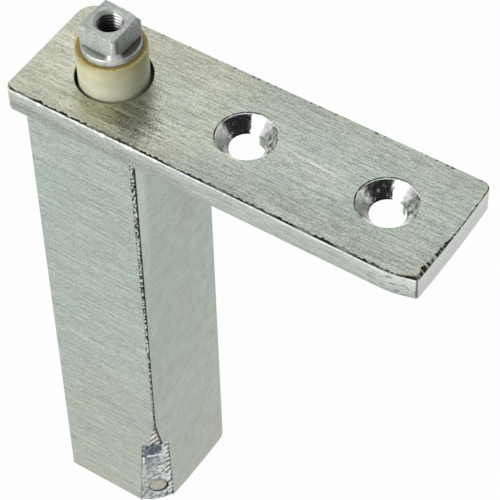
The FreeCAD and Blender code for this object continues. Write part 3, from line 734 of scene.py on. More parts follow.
        # Dirt and painted shade on the burr, a painted highlight on the bevel, and a dark line round the
        # front corner of the free end
        soil = front * (0.95 + 0.8 * patch) + free * (1 - 0.85 * fleck) + 0.8 * back * speck + 0.1 * short
        shine = front * dash * (1.05 + 0.4 * patch) + 0.2 * back + 0.3 * short + 0.7 * free * fleck
        line = 0.8 * ease(0.35, 0.5, out.x) * ease(0.85, 0.7, out.x) if out.y < 0 else 0.0
        marks = [
            (self.border, 0.0, 0.0, 0.0),
            (reach + 0.12, 0.5 * sink, 0.0, 0.0),
            (reach, 0.7 * sink, soil, 0.0),
            (bevel + 0.03, 0.03 + sink, soil, 0.0),
            (0.85 * bevel, 0.05 + roll, soil, 0.0),
            (0.8 * bevel, 0.09 + roll, line, shine),
            (0.0, bevel + 0.2 + roll, line, shine),
            (0.0, bevel + 0.4 + roll, *self.side(point, out, 1.0, line)),
        ]
        for drop in steps(1.6, plate_thick - looks.under_round, self.side_step):
            marks.append((0.0, drop, *self.side(point, out, drop, line)))
        for step, (inset, rise) in enumerate(quarter_round(looks.under_round, self.round_steps)):
            drop = plate_thick - rise
            held = self.side(point, out, drop, line) if step < self.marked_steps else (0.0, 0.0)
            marks.append((inset, drop, *held))
        return marks

    def side(self, point, out, drop, line):
        """Soil and shine of the plate's side at a depth below its top."""
        front, free = max(0.0, -out.y), max(0.0, out.x) ** 2
        # Scratches towards the free end, and painted shade darkening the lower part
        scratch = grain((0.5 * point.x, 0.0, 2.6 * drop), 1.0, 11.0)
        near = ease(plate_high.x - 15, plate_high.x - 5, point.x) * front
        low = ease(plate_thick - 1.2, plate_thick - 0.4, drop) * ease(10, 35, point.x)
        darker = front * (0.16 * ease(2.2, 4.5, drop) * ease(45, 20, point.x) + 0.12 * low)
        # Painted light: an even shine, brighter towards the top and the free end
        even = 0.04 + 0.11 * ease(8, 35, point.x)
        tip = 0.35 * ease(66, 82, point.x) * ease(5.6, 2.0, drop)
        shine = (front * (even + tip + 0.12 * ease(2.6, 1.2, drop))
                 + free * (0.45 + 0.5 * ease(2.8, 1.2, drop)))
        return max(line, darker, 0.7 * near * ease(0.18, 0.42, scratch)), shine

    def countersink(self, skin, x, looks):
        """Countersunk screw hole with a thin rim, burred on its far side."""
        mouth, land, hole = looks.sink_diameter / 2, looks.sink_land, screw_dims["hole_r_mm"]
        floor = -land - (mouth - hole) / math.tan(looks.sink_angle / 2)
        count = len(self.dark_reflections)

        def ring(radius, height, wave=0.0, soil=0.0, shine=0.0, frost=0.0, lip=0.0):
            marks = []
            for index, point in enumerate(circle(radius, height, self.sink_points, x)):
                out = Vector((point.x - x, point.y, 0.0)).normalized()
                far = ease(-0.2, 0.7, out.dot(self.far_side))
                part, share = divmod(index * count / self.sink_points, 1)
                after = self.dark_reflections[int(part + 1) % count]
                darker = self.dark_reflections[int(part)] * (1 - share) + after * share
                fine = grain(point, 0.9) + 0.7 * grain(point, 0.35, 5.0)
                # Painted dark reflections in sectors round the cone, and darker towards the bore
                worn = max(lip, darker * (1 + 0.9 * fine)) if frost else 0.0
                spark = ease(0.5, 0.75, fine) * ease(0.2, 0.7, out.dot(self.far_side))
                frosted = max(ease(0.8, 0.95, out.dot(self.frosted_side)), spark)
                marks.append((point + out * wave * grain(point, 0.7),
                              soil * far * (1 + grain(point, 0.9)) + worn, max(shine * far, frost * frosted)))
            return skin.row(marks)

        rim = [
            ring(mouth + 0.44, 0.0),
            ring(mouth + 0.30, 0.0, 0.12, soil=1.0),
            ring(mouth + 0.05, -0.03, 0.05, soil=1.0),
            ring(mouth, -0.05, shine=0.9),
            ring(mouth, -land, shine=0.9),
        ]
        skin.wrap(rim)
        cut = [ring(mouth - 0.04, -land - 0.04)]
        skin.wrap([rim[-1], cut[0]], 1)
        for step in range(1, self.cone_steps + 1):
            share = step / self.cone_steps
            cut.append(ring(mouth + (hole - mouth) * share, -land + (floor + land) * share, 0.03, frost=0.6,
                            lip=0.6 * ease(0.8, 1.0, share)))
        skin.wrap(cut, 1)
        bore = [ring(hole, floor - 0.15), ring(hole, plate_low.z + 0.35), ring(hole + 0.3, plate_low.z)]
        skin.wrap(cut[-1:] + bore, 2)
        return rim + cut + bore

    def bush_hole(self, skin, looks):
        """Clearance hole round the bush."""
        radius, low = looks.bush_hole / 2, plate_low.z
        rows = skin.turned((
            (radius + 0.25, 0.0, 0.0), (radius + 0.12, -0.02, 0.3), (radius, -0.15, 0.5),
            (radius, low + 0.2, 0.9), (radius + 0.2, low, 0.6)), self.hole_points)
        skin.wrap(rows)
        return rows


class HINGE_OT_housing(bpy.types.Operator):
    """Make the square barrel with its worn front edge and milled corner flat"""

    bl_idname = "hinge.housing"
    bl_label = "Barrel"

    # Points across the front corner, steps along a side, and points round another corner
    across = 41
    along = 4
    bend = 7
    # Spacing of the sections down the worn edge, the run-out and the flat, and steps round the hollow
    worn_step, ramp_step, flat_step = 0.22, 0.18, 0.2
    hollow_steps = 14
    # Gap round the cross pin, and how far its hole is drilled off its axis
    pin_gap = 0.16
    pin_off = (0.08, 0.08, 0.1)
    # How far the flat's left and right edges are shifted at its top, and how far they lean
    leans = ((-1.0, 0.074), (-0.75, 0.02))

    def execute(self, context):
        looks, plate = Sizes(context.scene.hinge_barrel), context.scene.hinge_plate
        skin = Skin()
        foot, top, end_ease = barrel_low.z, barrel_high.z, looks.end_ease
        worn, milled = self.levels(looks)
        upper = [self.section(skin, height, 0.0, looks) for height in worn]
        lower = [self.section(skin, height, max(0.0, end_ease + foot - height), looks) for height in milled]
        seat, bore = bush_high.x + 0.02, looks.bore / 2
        # Painted shade inside the bore and on the bush's seat
        profile = (
            (bore + 0.3, foot, 0.0), (bore, foot + 0.3, 0.2), (bore, bush_low.z, 0.5),
            (seat, bush_low.z, 0.5), (seat, top, 0.2))
        turns = [math.atan2(corner.co.y, corner.co.x) for corner in upper[0]]
        inside = [skin.row([(polar(radius, turn, height), soil, 0.0) for turn in turns])
                  for radius, height, soil in profile]
        skin.wrap(upper + lower[:1])
        skin.wrap(lower, 0, (0, self.across - 1), 1)
        skin.wrap(lower[-1:] + inside + upper[:1])
        piece = skin.make("barrel", [self.brushed_zinc(looks, plate), self.milled_zinc(looks, plate)])
        cut_away(piece, self.pin_hole(Sizes(context.scene.hinge_pin)))
        settle(piece, "housing", "barrel")
        return {"FINISHED"}

    def brushed_zinc(self, looks, plate):
        """Zinc brushed across the barrel, plainer on its right side."""
        finish = Zinc("zinc_barrel", looks, (0.30, 0.30, 4.4), (UP, -60.0, -145.0))
        right = finish.fade(finish.along(RIGHT), barrel_high.x - 0.08, barrel_high.x - 0.01)
        mist = finish.grain((0.35, 0.35, 0.25), detail=4.0, rough=0.65, shift=12.0)
        height, back = finish.along(UP), finish.along(BACK)
        # Painted shade high on the back of the right side, under the mounting plate
        upper = finish.fade(height, -48.0, -26.0)
        shaded = finish.work("MULTIPLY", finish.fade(back, -3.0, 5.0), upper, right)
        finish.tint(finish.span(shaded, 0.0, 1.0, 0.0, 0.95), looks.shaded)
        # Painted light: brighter high up on the front face, and lighter at the foot
        strip = finish.work("MULTIPLY", finish.fade(back, -9.5, -11.5, 0.0, 0.22),
                            finish.fade(height, -62.0, -25.0))
        misty = finish.work("ADD", finish.span(mist, 0.3, 0.7, 0.82, 1.0), strip,
                            finish.fade(height, -97.0, -82.0, 0.0, -0.04))
        level = finish.blend(right, (1.0, 1.0, 1.0), misty)
        return finish.brush(finish.span(right, 0.0, 1.0, 0.27, 0.08), level, plate)

    def hollow(self, looks):
        """Angle of the hollow above the flat, and the height at which it meets the run-out."""
        sweep = math.acos(1 - (looks.flat_depth - looks.ramp_depth) / looks.cutter_radius)
        return sweep, looks.flat_height + looks.cutter_radius * math.sin(sweep)

    def levels(self, looks):
        """Heights of the barrel's sections, above the tip of the run-out and below it."""
        foot, end_ease = barrel_low.z, looks.end_ease
        tip, flat = foot + looks.ramp_top, foot + looks.flat_height
        sweep, hollow = self.hollow(looks)
        turns = [sweep * step / self.hollow_steps for step in range(self.hollow_steps, 0, -1)]
        arc = [flat + looks.cutter_radius * math.sin(turn) for turn in turns]
        milled = steps(tip, foot + hollow, self.ramp_step) + arc
        milled += steps(flat, foot + end_ease, self.flat_step)
        milled += [foot + end_ease, foot + 0.5 * end_ease, foot]
        return steps(barrel_high.z, tip, self.worn_step), milled

    def depth(self, rise, looks):
        """How deep the front corner is cut at a height over the lower end, and how far that is milled."""
        flat, top, radius = looks.flat_height, looks.ramp_top, looks.cutter_radius
        _, hollow = self.hollow(looks)
        up = ease(top - 8, barrel_high.z - barrel_low.z, rise)
        worn = 0.5 * (looks.worn_tip + (looks.worn_edge - looks.worn_tip) * up)
        if rise > top:
            return worn, 0.0
        cut = looks.flat_depth
        if rise > hollow:
            cut = looks.ramp_depth * (top - rise) / (top - hollow)
        elif rise > flat:
            cut += math.sqrt(radius ** 2 - (rise - flat) ** 2) - radius
        return max(cut, worn), ease(top, top - 2, rise)

    def section(self, skin, height, inset, looks):
        """One level section of the barrel, from its front corner round."""
        half, rise = barrel_high.x - inset, height - barrel_low.z
        deep, milled = self.depth(rise, looks)
        rough = grain((0.0, 0.0, height), 0.5) + 0.6 * grain((5.0, 0.0, height), 0.2)
        deep = max(0.06, deep + (1 - milled) * 0.08 * rough - 0.5 * inset)
        _, hollow = self.hollow(looks)
        below = ease(hollow + 0.1, hollow - 0.1, rise)
        left, right = [ROOT_2 * deep + below * (shift + lean * (hollow - rise)) for shift, lean in self.leans]
        start, end = Vector((half - left, -half, height)), Vector((half, right - half, height))
        lift = looks.foot_lift * ease(3, 0, rise)
        marks = []
        for index in range(self.across):
            share = index / (self.across - 1)
            place = start.lerp(end, share)
            if milled:
                mark = self.milled_mark(place, share, (left + right) / ROOT_2, rise, looks)
            else:
                mark = self.worn_mark(place, share, rise, looks)
            mark[0].z += lift * ease(0.35, 1, share)
            marks.append(mark)
        beside_left, beside_right = [
            self.beside(reach, shift, looks) for reach, (shift, _) in zip((left, right), self.leans)]
        points = [Vector((half, reach - half, height)) for reach in beside_right]
        turned = max(0.1, looks.edge_round - inset)
        lead, radius = 0.0, looks.foot_lead
        if rise < radius:
            lead = radius - math.sqrt(radius ** 2 - (radius - rise) ** 2)
        back = min(half, barrel_high.y - lead)
        corners = ((half - turned, back - turned, 0), (turned - half, back - turned, 90),
                   (turned - half, turned - half, 180))
        for x, y, begin in corners:
            turns = [math.radians(begin + 90 * index / (self.bend - 1)) for index in range(self.bend)]
            arc = [Vector((x, y, 0.0)) + polar(turned, turn, height) for turn in turns]
            points += self.between(points[-1], arc[0]) + arc
        points += self.between(points[-1], Vector((half - beside_left[-1], -half, height)))
        for point in points:
            if point.x > half - 0.01:
                point.z += lift * ease(9, 0, point.y - end.y)
        points += [Vector((half - reach, -half, height)) for reach in reversed(beside_left)]
        spur = 0.8 * ease(hollow - 0.2, hollow, rise) * ease(hollow + 2.0, hollow + 0.8, rise)
        soil = [0.0] * len(points)
        soil[2] = soil[-3] = spur
        return skin.row(marks + [(point, dark, 0.0) for point, dark in zip(points, soil)])

    def between(self, start, end):
        """Points along one side."""
        return [start.lerp(end, step / self.along) for step in range(1, self.along)]

    def beside(self, reach, shift, looks):
        """Distances from the corner to the points beside the cut; the third is on the cutter's spur mark."""
        edge = ROOT_2 * looks.flat_depth + shift
        outer = [max(reach + 0.3 + 0.1 * step, edge - 0.15 + 0.15 * step) for step in range(3)]
        return [reach + 0.15] + outer

    def worn_mark(self, point, share, rise, looks):
        """A point on the worn front edge: chipped and soiled, with bright specks."""
        fine = grain(point, 0.42, 2.0) + 0.5 * grain(point, 0.18, 6.0)
        speck = grain(point, 0.55, 3.0) + 0.6 * grain(point, 0.24, 9.0)
        light = ease(0.02, 0.15, share) * ease(0.8, 0.55, share) * ease(0.06, 0.24, speck)
        light *= 0.4 + 0.6 * ease(2, 30, rise - looks.ramp_top)
        dark = 0.5 + 0.45 * ease(0.45, 0.7, share + 0.25 * fine) + 0.5 * ease(-0.1, -0.4, speck)
        chipped = point - CORNER_OUT * math.sin(math.pi * share) ** 0.5 * 0.10 * fine
        return chipped, dark * (1 - light), light

    def milled_mark(self, point, share, wide, rise, looks):
        """A point on the run-out, the hollow or the flat, with the cutter's marks, specks and soil."""
        _, hollow = self.hollow(looks)
        across, left, right = (point.x + point.y) / ROOT_2, share * wide, (1 - share) * wide
        ramp = ease(hollow - 0.1, hollow + 0.1, rise)
        flat = 1 - ramp
        # Relief: chatter waves across the flat, slanting strokes and a bulge at the foot
        rim = math.sin(math.pi * share) ** 0.5
        fine = grain(point, 0.5, 2.0) + 0.5 * grain(point, 0.2, 6.0)
        pitch = looks.chatter_pitch * (1 + 0.2 * ramp)
        wave = math.sin(math.tau * ((rise - 0.9 * across) / pitch + 0.4 * grain(point, 2.5, 8.0)))
        stroke = grain((0.6 * (rise + across), 1.5 * (rise - across), 0.0), 1.0, 8.0) + 0.5 * fine
        scallop = max(ramp, ease(1.8, 0.9, right))
        bulge = looks.flat_bulge * (1 - (2 * share - 1) ** 2) * ease(12, 0, rise)
        relief = rim * looks.chatter * (wave * (0.1 + 0.9 * scallop) + stroke)
        # Marks: painted blue reflection under the ledge, a painted highlight along a ridge and painted
        # sparkle in it, a dark dent at the foot, streaks
        blue_reflection = flat * ease(15.0, 17.5, rise + 1.5 * fine) * ease(2.2, 0.6, across + fine)
        bowed = rise - 20.2 - 0.04 * across - 0.08 * across ** 2
        ridge = ease(0.45, 0.2, abs(bowed)) * ease(2.6, 2.0, abs(across))
        sparkle = ease(1.2, 2.4, across + 1.2 * fine) * ease(21.5, 22.5, rise + 0.4 * across)
        dent = math.hypot(0.6 * (across - 1.7), rise - 1.6 - 0.3 * across)
        streaks = 0.75 * ease(0.08, 0.35, stroke) * (0.4 + 0.6 * ease(-2.5, 1.0, across))
        # Dark: painted shade along the right border, a thin dark left border, painted shade in the chatter's
        # troughs, dark strokes and the dent
        dark = max(
            0.9 * ease(0.5 + 0.4 * ramp, 0.25, right + 0.25 * fine - 0.3 * ease(6, 0, rise)),
            0.6 * ease(0.4, 0.15, left + 0.15 * fine),
            (0.8 - 0.35 * ramp) * scallop * ease(-0.1, -0.7, wave + 0.4 * fine),
            0.55 * ease(0.05, 0.4, -stroke) * (1 - 0.5 * blue_reflection),
            0.8 * ease(1.3, 0.6, dent + 0.8 * fine),
        )
        # Light: painted glints on the chatter's crests, the painted ridge highlight and sparkle, light
        # streaks, and bright spots by the left border
        light = max(
            0.95 * scallop * ease(0.1, 0.7, wave + 0.5 * fine) * ease(0.5 * ramp, 0.2 + 0.6 * ramp, right),
            0.95 * flat * ridge,
            0.95 * flat * sparkle * ease(-0.15, 0.15, fine),
            flat * streaks * (1 - 0.6 * blue_reflection),
            0.5 * flat * ease(1.3, 0.6, left + 0.4 * fine) * ease(4, 8, rise) * ease(-0.2, 0.2, fine),
            0.9 * ease(0.35, 0.2, abs(left - 0.5)) * ease(1.6, 1.2, abs(rise - 18.8)),
        )
        return point + CORNER_OUT * (bulge + relief), dark * (1 - 0.6 * light), light

    def milled_zinc(self, looks, plate):
        """Zinc over the milled flat, blued under its ledge and tanned on the run-out."""
        finish = Finish("milled_flat")
        foot, ledge = barrel_low.z, barrel_low.z + self.hollow(looks)[1]
        mottle = finish.grain((1.3, 1.3, 1.3), detail=4.0, rough=0.7)
        cloud = finish.grain((0.3, 0.3, 0.3), detail=2.0, shift=6.0)
        height, across = finish.along(UP), finish.along((math.sqrt(0.5), math.sqrt(0.5), 0.0))
        under = finish.fade(height, ledge + 0.1, ledge - 0.1)
        sway = finish.span(cloud, 0.3, 0.7, -1.2 * MM, 1.2 * MM)
        swayed, beside = finish.work("ADD", height, sway), finish.work("ADD", across, sway)
        tone = finish.blend(under, looks.tan, looks.milled)
        # Painted reflections under the ledge: a pale blue patch lower down, and a dark blue band up to the
        # ledge
        pale = [0.35 * first + 0.8 * second for first, second in zip(looks.milled, looks.blue_reflection)]
        bands = ((pale, 15.0, 17.5, 2.6, 0.4), (looks.blue_reflection, 20.0, 20.6, 3.0, 0.6))
        for tint, low, high, wide, narrow in bands:
            share = finish.work("MULTIPLY", finish.fade(swayed, foot + low, foot + high),
                                finish.fade(beside, wide, narrow, 0.1, 0.95), under)
            tone = finish.blend(share, tone, tint)
        tone = finish.shade(tone, finish.span(mottle, 0.25, 0.75, 0.4, 1.45))
        finish.set(Base_Color=finish.worn(tone, plate), Metallic=0.85)
        finish.set(Roughness=finish.span(mottle, 0.3, 0.7, 0.42, 0.28))
        finish.bump(mottle, 0.4, 0.05)
        return finish.material

    def pin_hole(self, pin):
        """Tool for the cross pin's hole, from the bore out."""
        skin = Skin()
        radius = pin.diameter / 2 + self.pin_gap
        rows = skin.turned([(radius, share * barrel_high.x, 0.0) for share in (0.5, 2)], PIN_POINTS)
        return skin.tool("pin_hole", rows, Matrix.Translation(self.pin_off) @ pin_place())


def pin_place():
    """Where the cross pin lies: its axis points out of the corner flat."""
    level = (pin_low.z + pin_high.z) / 2
    return Matrix.Translation((0, 0, level)) @ CORNER_OUT.to_track_quat("Z", "Y").to_matrix().to_4x4()


class HINGE_OT_bushing(bpy.types.Operator):
    """Make the nylon bush with its stained rim"""

    bl_idname = "hinge.bushing"
    bl_label = "Nylon Bush"

    # Points round the bush, spacing up its wall, steps round its rim, and the side that grease has run down
    points = 144
    wall_step, rim_steps = 2.0, 6
    greasy_side = (-0.82, -0.57, 0.0)

    def execute(self, context):
        looks = Sizes(context.scene.hinge_bush)
        skin = Skin()
        outside, bore = bush_high.x, looks.bore / 2
        low, top, rim = bush_low.z, bush_high.z, looks.rim_bevel
        profile = [(outside, height, 0.0) for height in steps(low, top - rim, self.wall_step)]
        profile += [(outside - inset, top - drop, 0.0) for inset, drop in quarter_round(rim, self.rim_steps)]
        profile += [(bore + 0.1, top, 0.0), (bore, top - 0.1, 0.0), (bore, low, 0.0)]
        rows = skin.turned(profile, self.points)
        skin.wrap(rows + rows[:1])
        settle(skin.make("bush", [self.finish(looks)]), "bushing", "barrel")
        return {"FINISHED"}

    def finish(self, looks):
        """Natural nylon, yellowed towards its rim, with a grease stain on it."""
        finish = Finish("stained_nylon")
        cloud = finish.grain((0.25, 0.25, 0.25), detail=3.0)
        spots = finish.grain((1.5, 1.5, 1.5), detail=3.0, rough=0.6, shift=2.0)
        bands = finish.grain((0.03, 0.03, 0.5), detail=2.0, shift=4.0)
        height, greasy = finish.along(UP), finish.along(self.greasy_side)
        top, outside = bush_high.z, bush_high.x
        tone = finish.blend(finish.fade(height, 3.0, top, 0.0, 0.8), looks.nylon, looks.aged)
        tone = finish.shade(tone, finish.work("ADD", finish.span(cloud, 0.3, 0.7, 0.92, 1.06),
                                              finish.span(bands, 0.3, 0.7, -0.06, 0.06)))
        lowest = finish.fade(greasy, 3.0, 8.0, (top - 0.45) * MM, (top - 2.4) * MM)
        frayed = finish.work("ADD", finish.away(), finish.span(spots, 0.3, 0.7, -0.35 * MM, 0.35 * MM))
        stain = finish.work("MULTIPLY", finish.span(height, lowest, (top - 0.1) * MM),
                            finish.fade(frayed, outside, outside - 0.6))
        drip = finish.work("MULTIPLY", finish.span(height, lowest, (top - 0.2) * MM, 0.0, 0.6),
                           finish.fade(greasy, 1.0, 7.0))
        dark = finish.work("MULTIPLY", finish.span(spots, 0.56, 0.7, 0.0, 0.7), stain)
        burnt = [0.3 * value for value in looks.stain]
        for share, tint in ((stain, looks.stain), (drip, looks.stain), (dark, burnt)):
            tone = finish.blend(share, tone, tint)
        finish.set(Base_Color=tone, Roughness=0.33, Subsurface_Weight=0.25, Subsurface_Scale=0.002)
        finish.set(Subsurface_Radius=(1.0, 0.8, 0.5))
        finish.bump(cloud, 0.2, 0.05)
        return finish.material


class HINGE_OT_spindle(bpy.types.Operator):
    """Make the spindle with its square head and tapped hole"""

    bl_idname = "hinge.spindle"
    bl_label = "Spindle"

    # Top of the flange under the washer, depth of the drill's tip, and spacing of the thread's points
    flange_top = washer_low.z - 0.1
    drill_tip = 1.9
    thread_step = 0.085

    def execute(self, context):
        looks = Sizes(context.scene.hinge_spindle)
        skin = Skin()
        turns = self.turns(looks)
        profiles = []
        for turn in turns:
            face = (math.degrees(turn - looks.head_turn) + 180) % 360 - 180
            profiles.append(self.shaft(looks) + self.collar(turn, face, looks) + self.head(turn, face, looks)
                            + self.tapped_hole(turn, looks))
        rows = []
        for level in zip(*profiles):
            rows.append(skin.row([(polar(radius, turn, height), soil, shine)
                                  for turn, (radius, height, soil, shine) in zip(turns, level)]))
        skin.wrap(rows)
        skin.cone(rows[0], (0, 0, spindle_low.z))
        skin.cone(rows[-1], (0, 0, rows[-1][0].co.z - self.drill_tip))
        piece = skin.make("spindle_shaft", [self.finish(looks, context.scene.hinge_plate)])
        cut_away(piece, self.tang_slot(looks))
        settle(piece, "spindle", "spindle", crease=28.0)
        return {"FINISHED"}

    def turns(self, looks):
        """Directions round the axis, close together at the square's turned corners."""
        near = math.acos(looks.head_size / looks.head_corner) - math.radians(5)
        face_points, corner_points = 26, 16
        turns = []
        for quarter in range(4):
            middle = looks.head_turn + quarter * math.pi / 2
            turns += [middle - near + 2 * near * step / face_points for step in range(face_points)]
            turns += [middle + near + (math.pi / 2 - 2 * near) * step / corner_points
                      for step in range(corner_points)]
        return turns

    def square(self, face, inset, foot, looks):
        """Distance from the axis to the head's side; foot is 1 where its front corner runs into the collar.

        A face is given by its degrees from the head's right-hand side, from -180 to 180.
        """
        off = math.radians((face + 45) % 90 - 45)
        corner = looks.head_corner / 2 - (0.2 + 0.32 * foot) * ease(16, 8, abs(face + 45))
        return min((looks.head_size / 2 - inset) / math.cos(off), corner - inset)

    def wedge(self, face):
        """1 where the head's front corner runs out into the collar and 0 elsewhere."""
        return ease(22, 10, abs(face + 45))

    def front_left(self, face):
        """1 on the head's front left side and 0 elsewhere."""
        return ease(-140, -132, face) * ease(-48, -54, face)

    def shaft(self, looks):
        """Arbor, flange and journal: radius, height, soil and shine of each step up."""
        journal, arbor, flange = looks.journal / 2, looks.arbor / 2, spindle_high.x
        low, flange_top, flange_low = spindle_low.z, self.flange_top, self.flange_top - looks.flange_thick
        profile = (
            (arbor - 0.5, low), (arbor, low + 0.5), (arbor, flange_low), (flange - 0.5, flange_low),
            (flange, flange_low + 0.5), (flange, flange_top), (journal, flange_top),
            (journal, bush_high.z - 1.0), (journal, bush_high.z + 0.3))
        return [(radius, height, 0.0, 0.0) for radius, height in profile]

    def collar(self, turn, face, looks):
        """Top of the journal, with a bright rim and a dull ledge beside the head."""
        journal, top = looks.journal / 2, looks.collar_top
        left, wedge = self.front_left(face), self.wedge(face)
        darker = 0.3 * ease(-85, -110, face)
        rim = 0.8 * left * share_of(0.8 + grain(polar(journal, turn, 0), 1.2))
        profile = ((journal, bush_high.z + 0.4, 0.5), (journal, top - 0.35, 0.6), (journal, top - 0.22, 0.8),
                   (journal - 0.2, top, 1.0))
        marks = [(radius, height, darker, max(share * rim, 0.85 * wedge)) for radius, height, share in profile]
        ledge = max(journal - 0.3, self.square(face, 0.0, 1.0, looks))
        return marks + [(ledge, top, (0.75 - 0.65 * left) * (1 - wedge), 0.4 * wedge)]

    def head(self, turn, face, looks):
        """Sides of the square head and its worn upper edge."""
        top, left, wedge = spindle_high.z, self.front_left(face), self.wedge(face)
        # The right corner is worn down, and the upper edge is chipped all round
        worn = ease(-15, 44, face) * ease(66, 46, face)
        chip = grain(polar(6.0, turn, 0), 0.7)
        drop = looks.head_edge * (1 + 0.6 * chip) + looks.head_wear * worn
        # Bare metal and painted highlights in patches along the front left top edge, dark pits on the worn
        # corner, a dark line under the edge, a painted highlight down the front corner, a dark strip beside
        # it, and painted shade at the back of the top
        patch = 0.95 * left * ease(-0.05, 0.2, chip)
        pit = 0.6 * worn * ease(0.0, 0.4, chip)
        notch = max(0.8 * left, pit, 0.75 * (1 - left) * ease(0.0, 0.25, chip))
        corner = 0.6 * ease(8, 4, abs(face + 45))
        strip = 0.45 * ease(-42, -40, face) * ease(-31, -37, face)
        darker = 0.16 * ease(50, 140, abs(face))
        # Steps up the sides and over the edge, with the dirt and painted shade and the shine of each; painted
        # shade lies at the sides' foot
        foot = looks.collar_top + looks.head_flare * wedge
        sides = [(0.0, (0.9 - 0.2 * left) * (1 - wedge), 0.4 * wedge), (0.03, 0.15 * (1 - wedge), corner)]
        sides += [(share, strip, corner) for share in (0.15, 0.3, 0.45, 0.6, 0.75, 0.85, 0.92)]
        sides.append((0.96, 0.0, patch))
        marks = []
        for share, soil, shine in sides:
            reach = self.square(face, 0.0, ease(0.7, 0.0, share), looks)
            marks.append((reach, foot + share * (top - drop - foot), soil, shine))
        for fall, inset, soil, shine in ((1.0, 0.0, pit, patch), (0.6, 0.2, notch, 0.0), (0.2, 0.5, pit, 0.0),
                                         (0.0, 0.8, darker, 0.0), (0.0, 1.1, darker, 0.0)):
            marks.append((self.square(face, inset * drop, 0.0, looks), top - fall * drop, soil, shine))
        return marks

    def tapped_hole(self, turn, looks):
        """Mouth and right-hand thread of the tapped hole, with light caught on its back wall."""
        crest, root, top = looks.thread_core / 2, thread_dims["r_mm"], spindle_high.z
        mouth = looks.mouth / 2
        depth = thread_dims["length_mm"] + mouth - root
        way = math.degrees(turn) % 360
        marks = []
        for height in steps(top, top - depth, self.thread_step) + [top - depth]:
            below = top - height
            share = (height / looks.thread_pitch - turn / math.tau) % 1.0
            ridge = share_of(2.4 * abs(share - 0.5) - 0.15)
            radius = max(crest + (root - crest) * ridge, mouth - below)
            # Light on the flanks at the back and on the crests at the left
            flank = ease(0.4, 0.48, share) * ease(0.95, 0.8, share)
            back = ease(48, 58, way) * ease(114, 100, way) * ease(5.2, 4.2, below)
            crests = ease(165, 185, way) * ease(235, 210, way) * ease(2.8, 1.8, below)
            lit = max(back * flank, 0.5 * crests * ease(0.3, 0.1, ridge))
            # Painted shade, deeper down the hole and away from the lit flanks
            soil = 0.95 * ease(0.35, 1.0, below) * (1 - lit) * (0.75 + 0.25 * ridge)
            marks.append((radius, height, soil, lit * ease(0.35, 0.8, below)))
        return marks

    def tang_slot(self, looks):
        """Tool for the slot that holds the spring's upper tang."""
        skin = Skin()
        near, far, level = looks.slot_start, 1.2 * spindle_high.x, self.flange_top - looks.flange_thick
        side, half = looks.slot_side, looks.slot_width / 2
        corners = ((near, side - half), (far, side - half), (far, side + half), (near, side + half))
        rows = [skin.row([(Vector((x, y, height)), 0.0, 0.0) for x, y in corners])
                for height in (level - 1.0, level + looks.slot_depth)]
        return skin.tool("tang_slot", rows)

    def finish(self, looks, plate):
        """Matt zinc on turned and milled steel."""
        finish = Finish("spindle_zinc")
        specks = finish.grain((2.2, 2.2, 2.2), detail=4.0, rough=0.65)
        streaks = finish.grain((0.9, 0.9, 0.12), detail=3.0, shift=4.0)
        strength = finish.work("ADD", finish.span(specks, 0.3, 0.7, 0.65, 1.35),
                               finish.span(streaks, 0.3, 0.7, -0.12, 0.12))
        finish.set(Base_Color=finish.worn(finish.shade(looks.steel, strength), plate))
        finish.set(Metallic=finish.span(finish.held("shine"), 0.85, 1.0, 0.35, 1.0))
        finish.set(Roughness=finish.span(specks, 0.3, 0.7, 0.52, 0.40))
        finish.bump(specks, 0.4, 0.05)
        return finish.material


class HINGE_OT_anchor_pin(bpy.types.Operator):
    """Make the cross pin"""

    bl_idname = "hinge.anchor_pin"
    bl_label = "Cross Pin"

    def execute(self, context):
        looks = Sizes(context.scene.hinge_pin)
        radius, bevel = looks.diameter / 2, looks.bevel
        outer = pin_high.x * ROOT_2 - radius + bevel + 0.3
        inner = pin_low.x * ROOT_2 + radius - bevel
        skin = Skin()
        # Painted shade on the pin's side and bevel, where it sits in its hole
        rows = skin.turned((
            (radius - bevel, inner, 0.0), (radius, inner + bevel, 0.0), (radius, outer - bevel, 0.7),
            (radius - 0.6 * bevel, outer - 0.3 * bevel, 0.3), (radius - bevel - 0.1, outer - 0.03, 0.0),
            (0.6 * radius, outer, 0.0)), PIN_POINTS)
        skin.wrap(rows)
        skin.cone(rows[0], (0, 0, inner))
        skin.cone(rows[-1], (0, 0, outer))
        piece = skin.make("cross_pin", [turned_steel(looks, context.scene.hinge_plate)], pin_place())
        settle(piece, "anchor_pin", "barrel")
        return {"FINISHED"}


